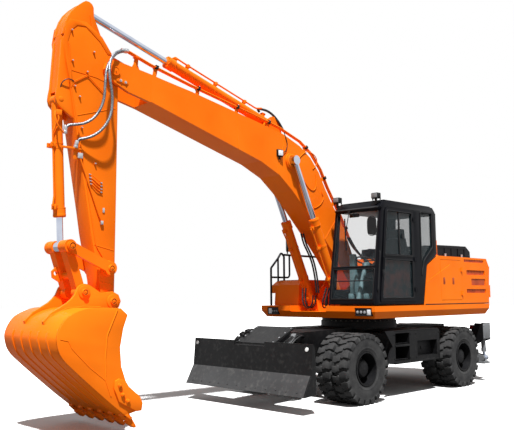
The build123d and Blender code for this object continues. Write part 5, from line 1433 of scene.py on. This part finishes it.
def stabiliser_dress():
    """Guards, screws and hoses on the frame behind the rear wheels."""
    for side, name in ((1, "left"), (-1, "right")):
        guard = side_slab(side, -2.602, 1.1515, 0.785, -2.324, 1.1560, 1.070, 0.002)
        fit(guard, f"stabiliser_guard_{name}", "chassis", COVER_GREY)
        places = [at(x, side * 1.156, z) for x in (-2.575, -2.350) for z in (0.815, 1.040)]
        bolts(f"guard_bolts_{name}", "chassis", places, (0, side, 0), 0.009, ZINC)
        hose = tube(line((-2.455, side * 0.93, 0.93), (-2.455, side * 0.80, 0.97), (-2.44, side * 0.60, 0.95),
                         (-2.40, side * 0.35, 0.90), (-2.345, side * 0.22, 0.90)), 0.011)
        fit(hose, f"stabiliser_hose_{name}", "chassis", HOSE_BLACK)
    tail_lamps = [side_slab(side, -2.632, 0.72, 0.945, -2.609, 0.92, 1.025, 0.008) for side in (1, -1)]
    fit(joined(tail_lamps), "tail_lamps", "chassis", REFLECTOR)
    covers = [slab(at(-2.616, -0.30, 0.52), at(-2.608, 0.30, 0.86), 0.002)]
    fit(joined(covers), "rear_cover", "chassis", CHARCOAL)
    places = [at(-2.616, y, z) for y in (-0.27, 0.0, 0.27) for z in (0.55, 0.83)]
    bolts("rear_cover_bolts", "chassis", places, (-1, 0, 0), 0.010, ZINC)


# ---- stage, camera and light --------------------------------------------------------------------------
PAPER_SEEN, PAPER_LIGHTING = 0.93, 0.20   # the floor's grey to the eye, and what it throws back
ROOM_GLOW = 0.30                          # the room's brightness where it lights the machine
SUN_FROM, SUN_STRENGTH, SUN_WIDTH = Vector((0.31, 0.34, 0.888)), 6.6, radians(2.5)


def stage_and_light():
    """A pale paper floor, an even white room and one sun, high off the left front corner."""
    clear_selection()
    bpy.ops.mesh.primitive_plane_add(size=160, location=(cad_box[0][0], 0, 0))
    floor = bpy.context.object
    floor.name = "studio_floor"
    paper = bpy.data.materials.new("studio_paper")
    paper.use_nodes = True
    nodes, links = paper.node_tree.nodes, paper.node_tree.links
    principled = nodes["Principled BSDF"]
    principled.inputs["Roughness"].default_value = 0.9
    principled.inputs["Specular IOR Level"].default_value = 0.0
    rays = nodes.new("ShaderNodeLightPath")
    tint = nodes.new("ShaderNodeMix")
    tint.data_type = "RGBA"
    tint.inputs["A"].default_value = (*[PAPER_LIGHTING] * 3, 1.0)
    tint.inputs["B"].default_value = (*[PAPER_SEEN] * 3, 1.0)
    links.new(rays.outputs["Is Camera Ray"], tint.inputs["Factor"])
    links.new(tint.outputs["Result"], principled.inputs["Base Color"])
    floor.data.materials.append(paper)

    world = bpy.data.worlds.new("studio")
    world.use_nodes = True
    bpy.context.scene.world = world
    nodes, links = world.node_tree.nodes, world.node_tree.links
    rays = nodes.new("ShaderNodeLightPath")
    seen = nodes.new("ShaderNodeMath")
    seen.operation = "MAXIMUM"
    links.new(rays.outputs["Is Camera Ray"], seen.inputs[0])
    links.new(rays.outputs["Is Transmission Ray"], seen.inputs[1])
    glossy = nodes.new("ShaderNodeMath")
    glossy.operation = "MAXIMUM"
    links.new(seen.outputs["Value"], glossy.inputs[0])
    links.new(rays.outputs["Is Glossy Ray"], glossy.inputs[1])
    level = nodes.new("ShaderNodeMapRange")
    level.inputs["To Min"].default_value = ROOM_GLOW
    level.inputs["To Max"].default_value = 1.0
    links.new(glossy.outputs["Value"], level.inputs["Value"])
    links.new(level.outputs["Result"], nodes["Background"].inputs["Strength"])
    nodes["Background"].inputs["Color"].default_value = (1.0, 1.0, 1.0, 1.0)

    sun = bpy.data.lights.new("key_light", "SUN")
    sun.energy, sun.angle = SUN_STRENGTH, SUN_WIDTH
    key = bpy.data.objects.new("key_light", sun)
    key.rotation_euler = SUN_FROM.to_track_quat("Z", "Y").to_euler()
    bpy.context.scene.collection.objects.link(key)


def camera():
    """At the eye height of someone who stands off the machine's left front corner."""
    view = bpy.data.cameras.new("camera")
    view.lens, view.sensor_width = 48.63, 36.0
    view.clip_end = 500.0
    eye = bpy.data.objects.new("camera", view)
    bpy.context.scene.collection.objects.link(eye)
    heading, rise, roll = radians(225.17), radians(6.613), radians(-0.3385)
    forward = Vector((cos(heading) * cos(rise), sin(heading) * cos(rise), sin(rise)))
    right = forward.cross(Vector((0, 0, 1))).normalized()
    up = right.cross(forward)
    level_right, level_up = right, up
    right = level_right * cos(roll) + level_up * sin(roll)
    up = level_up * cos(roll) - level_right * sin(roll)
    turn = Matrix((right, up, -forward)).transposed().to_4x4()
    eye.matrix_world = Matrix.Translation(at(10.0235, 7.5518, 1.6199)) @ turn
    bpy.context.scene.camera = eye


dress_nodes()
stage_and_light()
camera()
wheels()
pipe_clamps()
pin_ends()
cylinder_dress()
boom_dress()
arm_body()
arm_hoses()
arm_dress()
boom_foot_hoses()
bucket_body()
bucket_dress()
grilles()
housing_dress()
deck_dress()
cab_body()
cab_dress()
cab_interior()
blade_dress()
step_dress()
stabiliser_dress()

bpy.context.scene.view_settings.view_transform = "Standard"
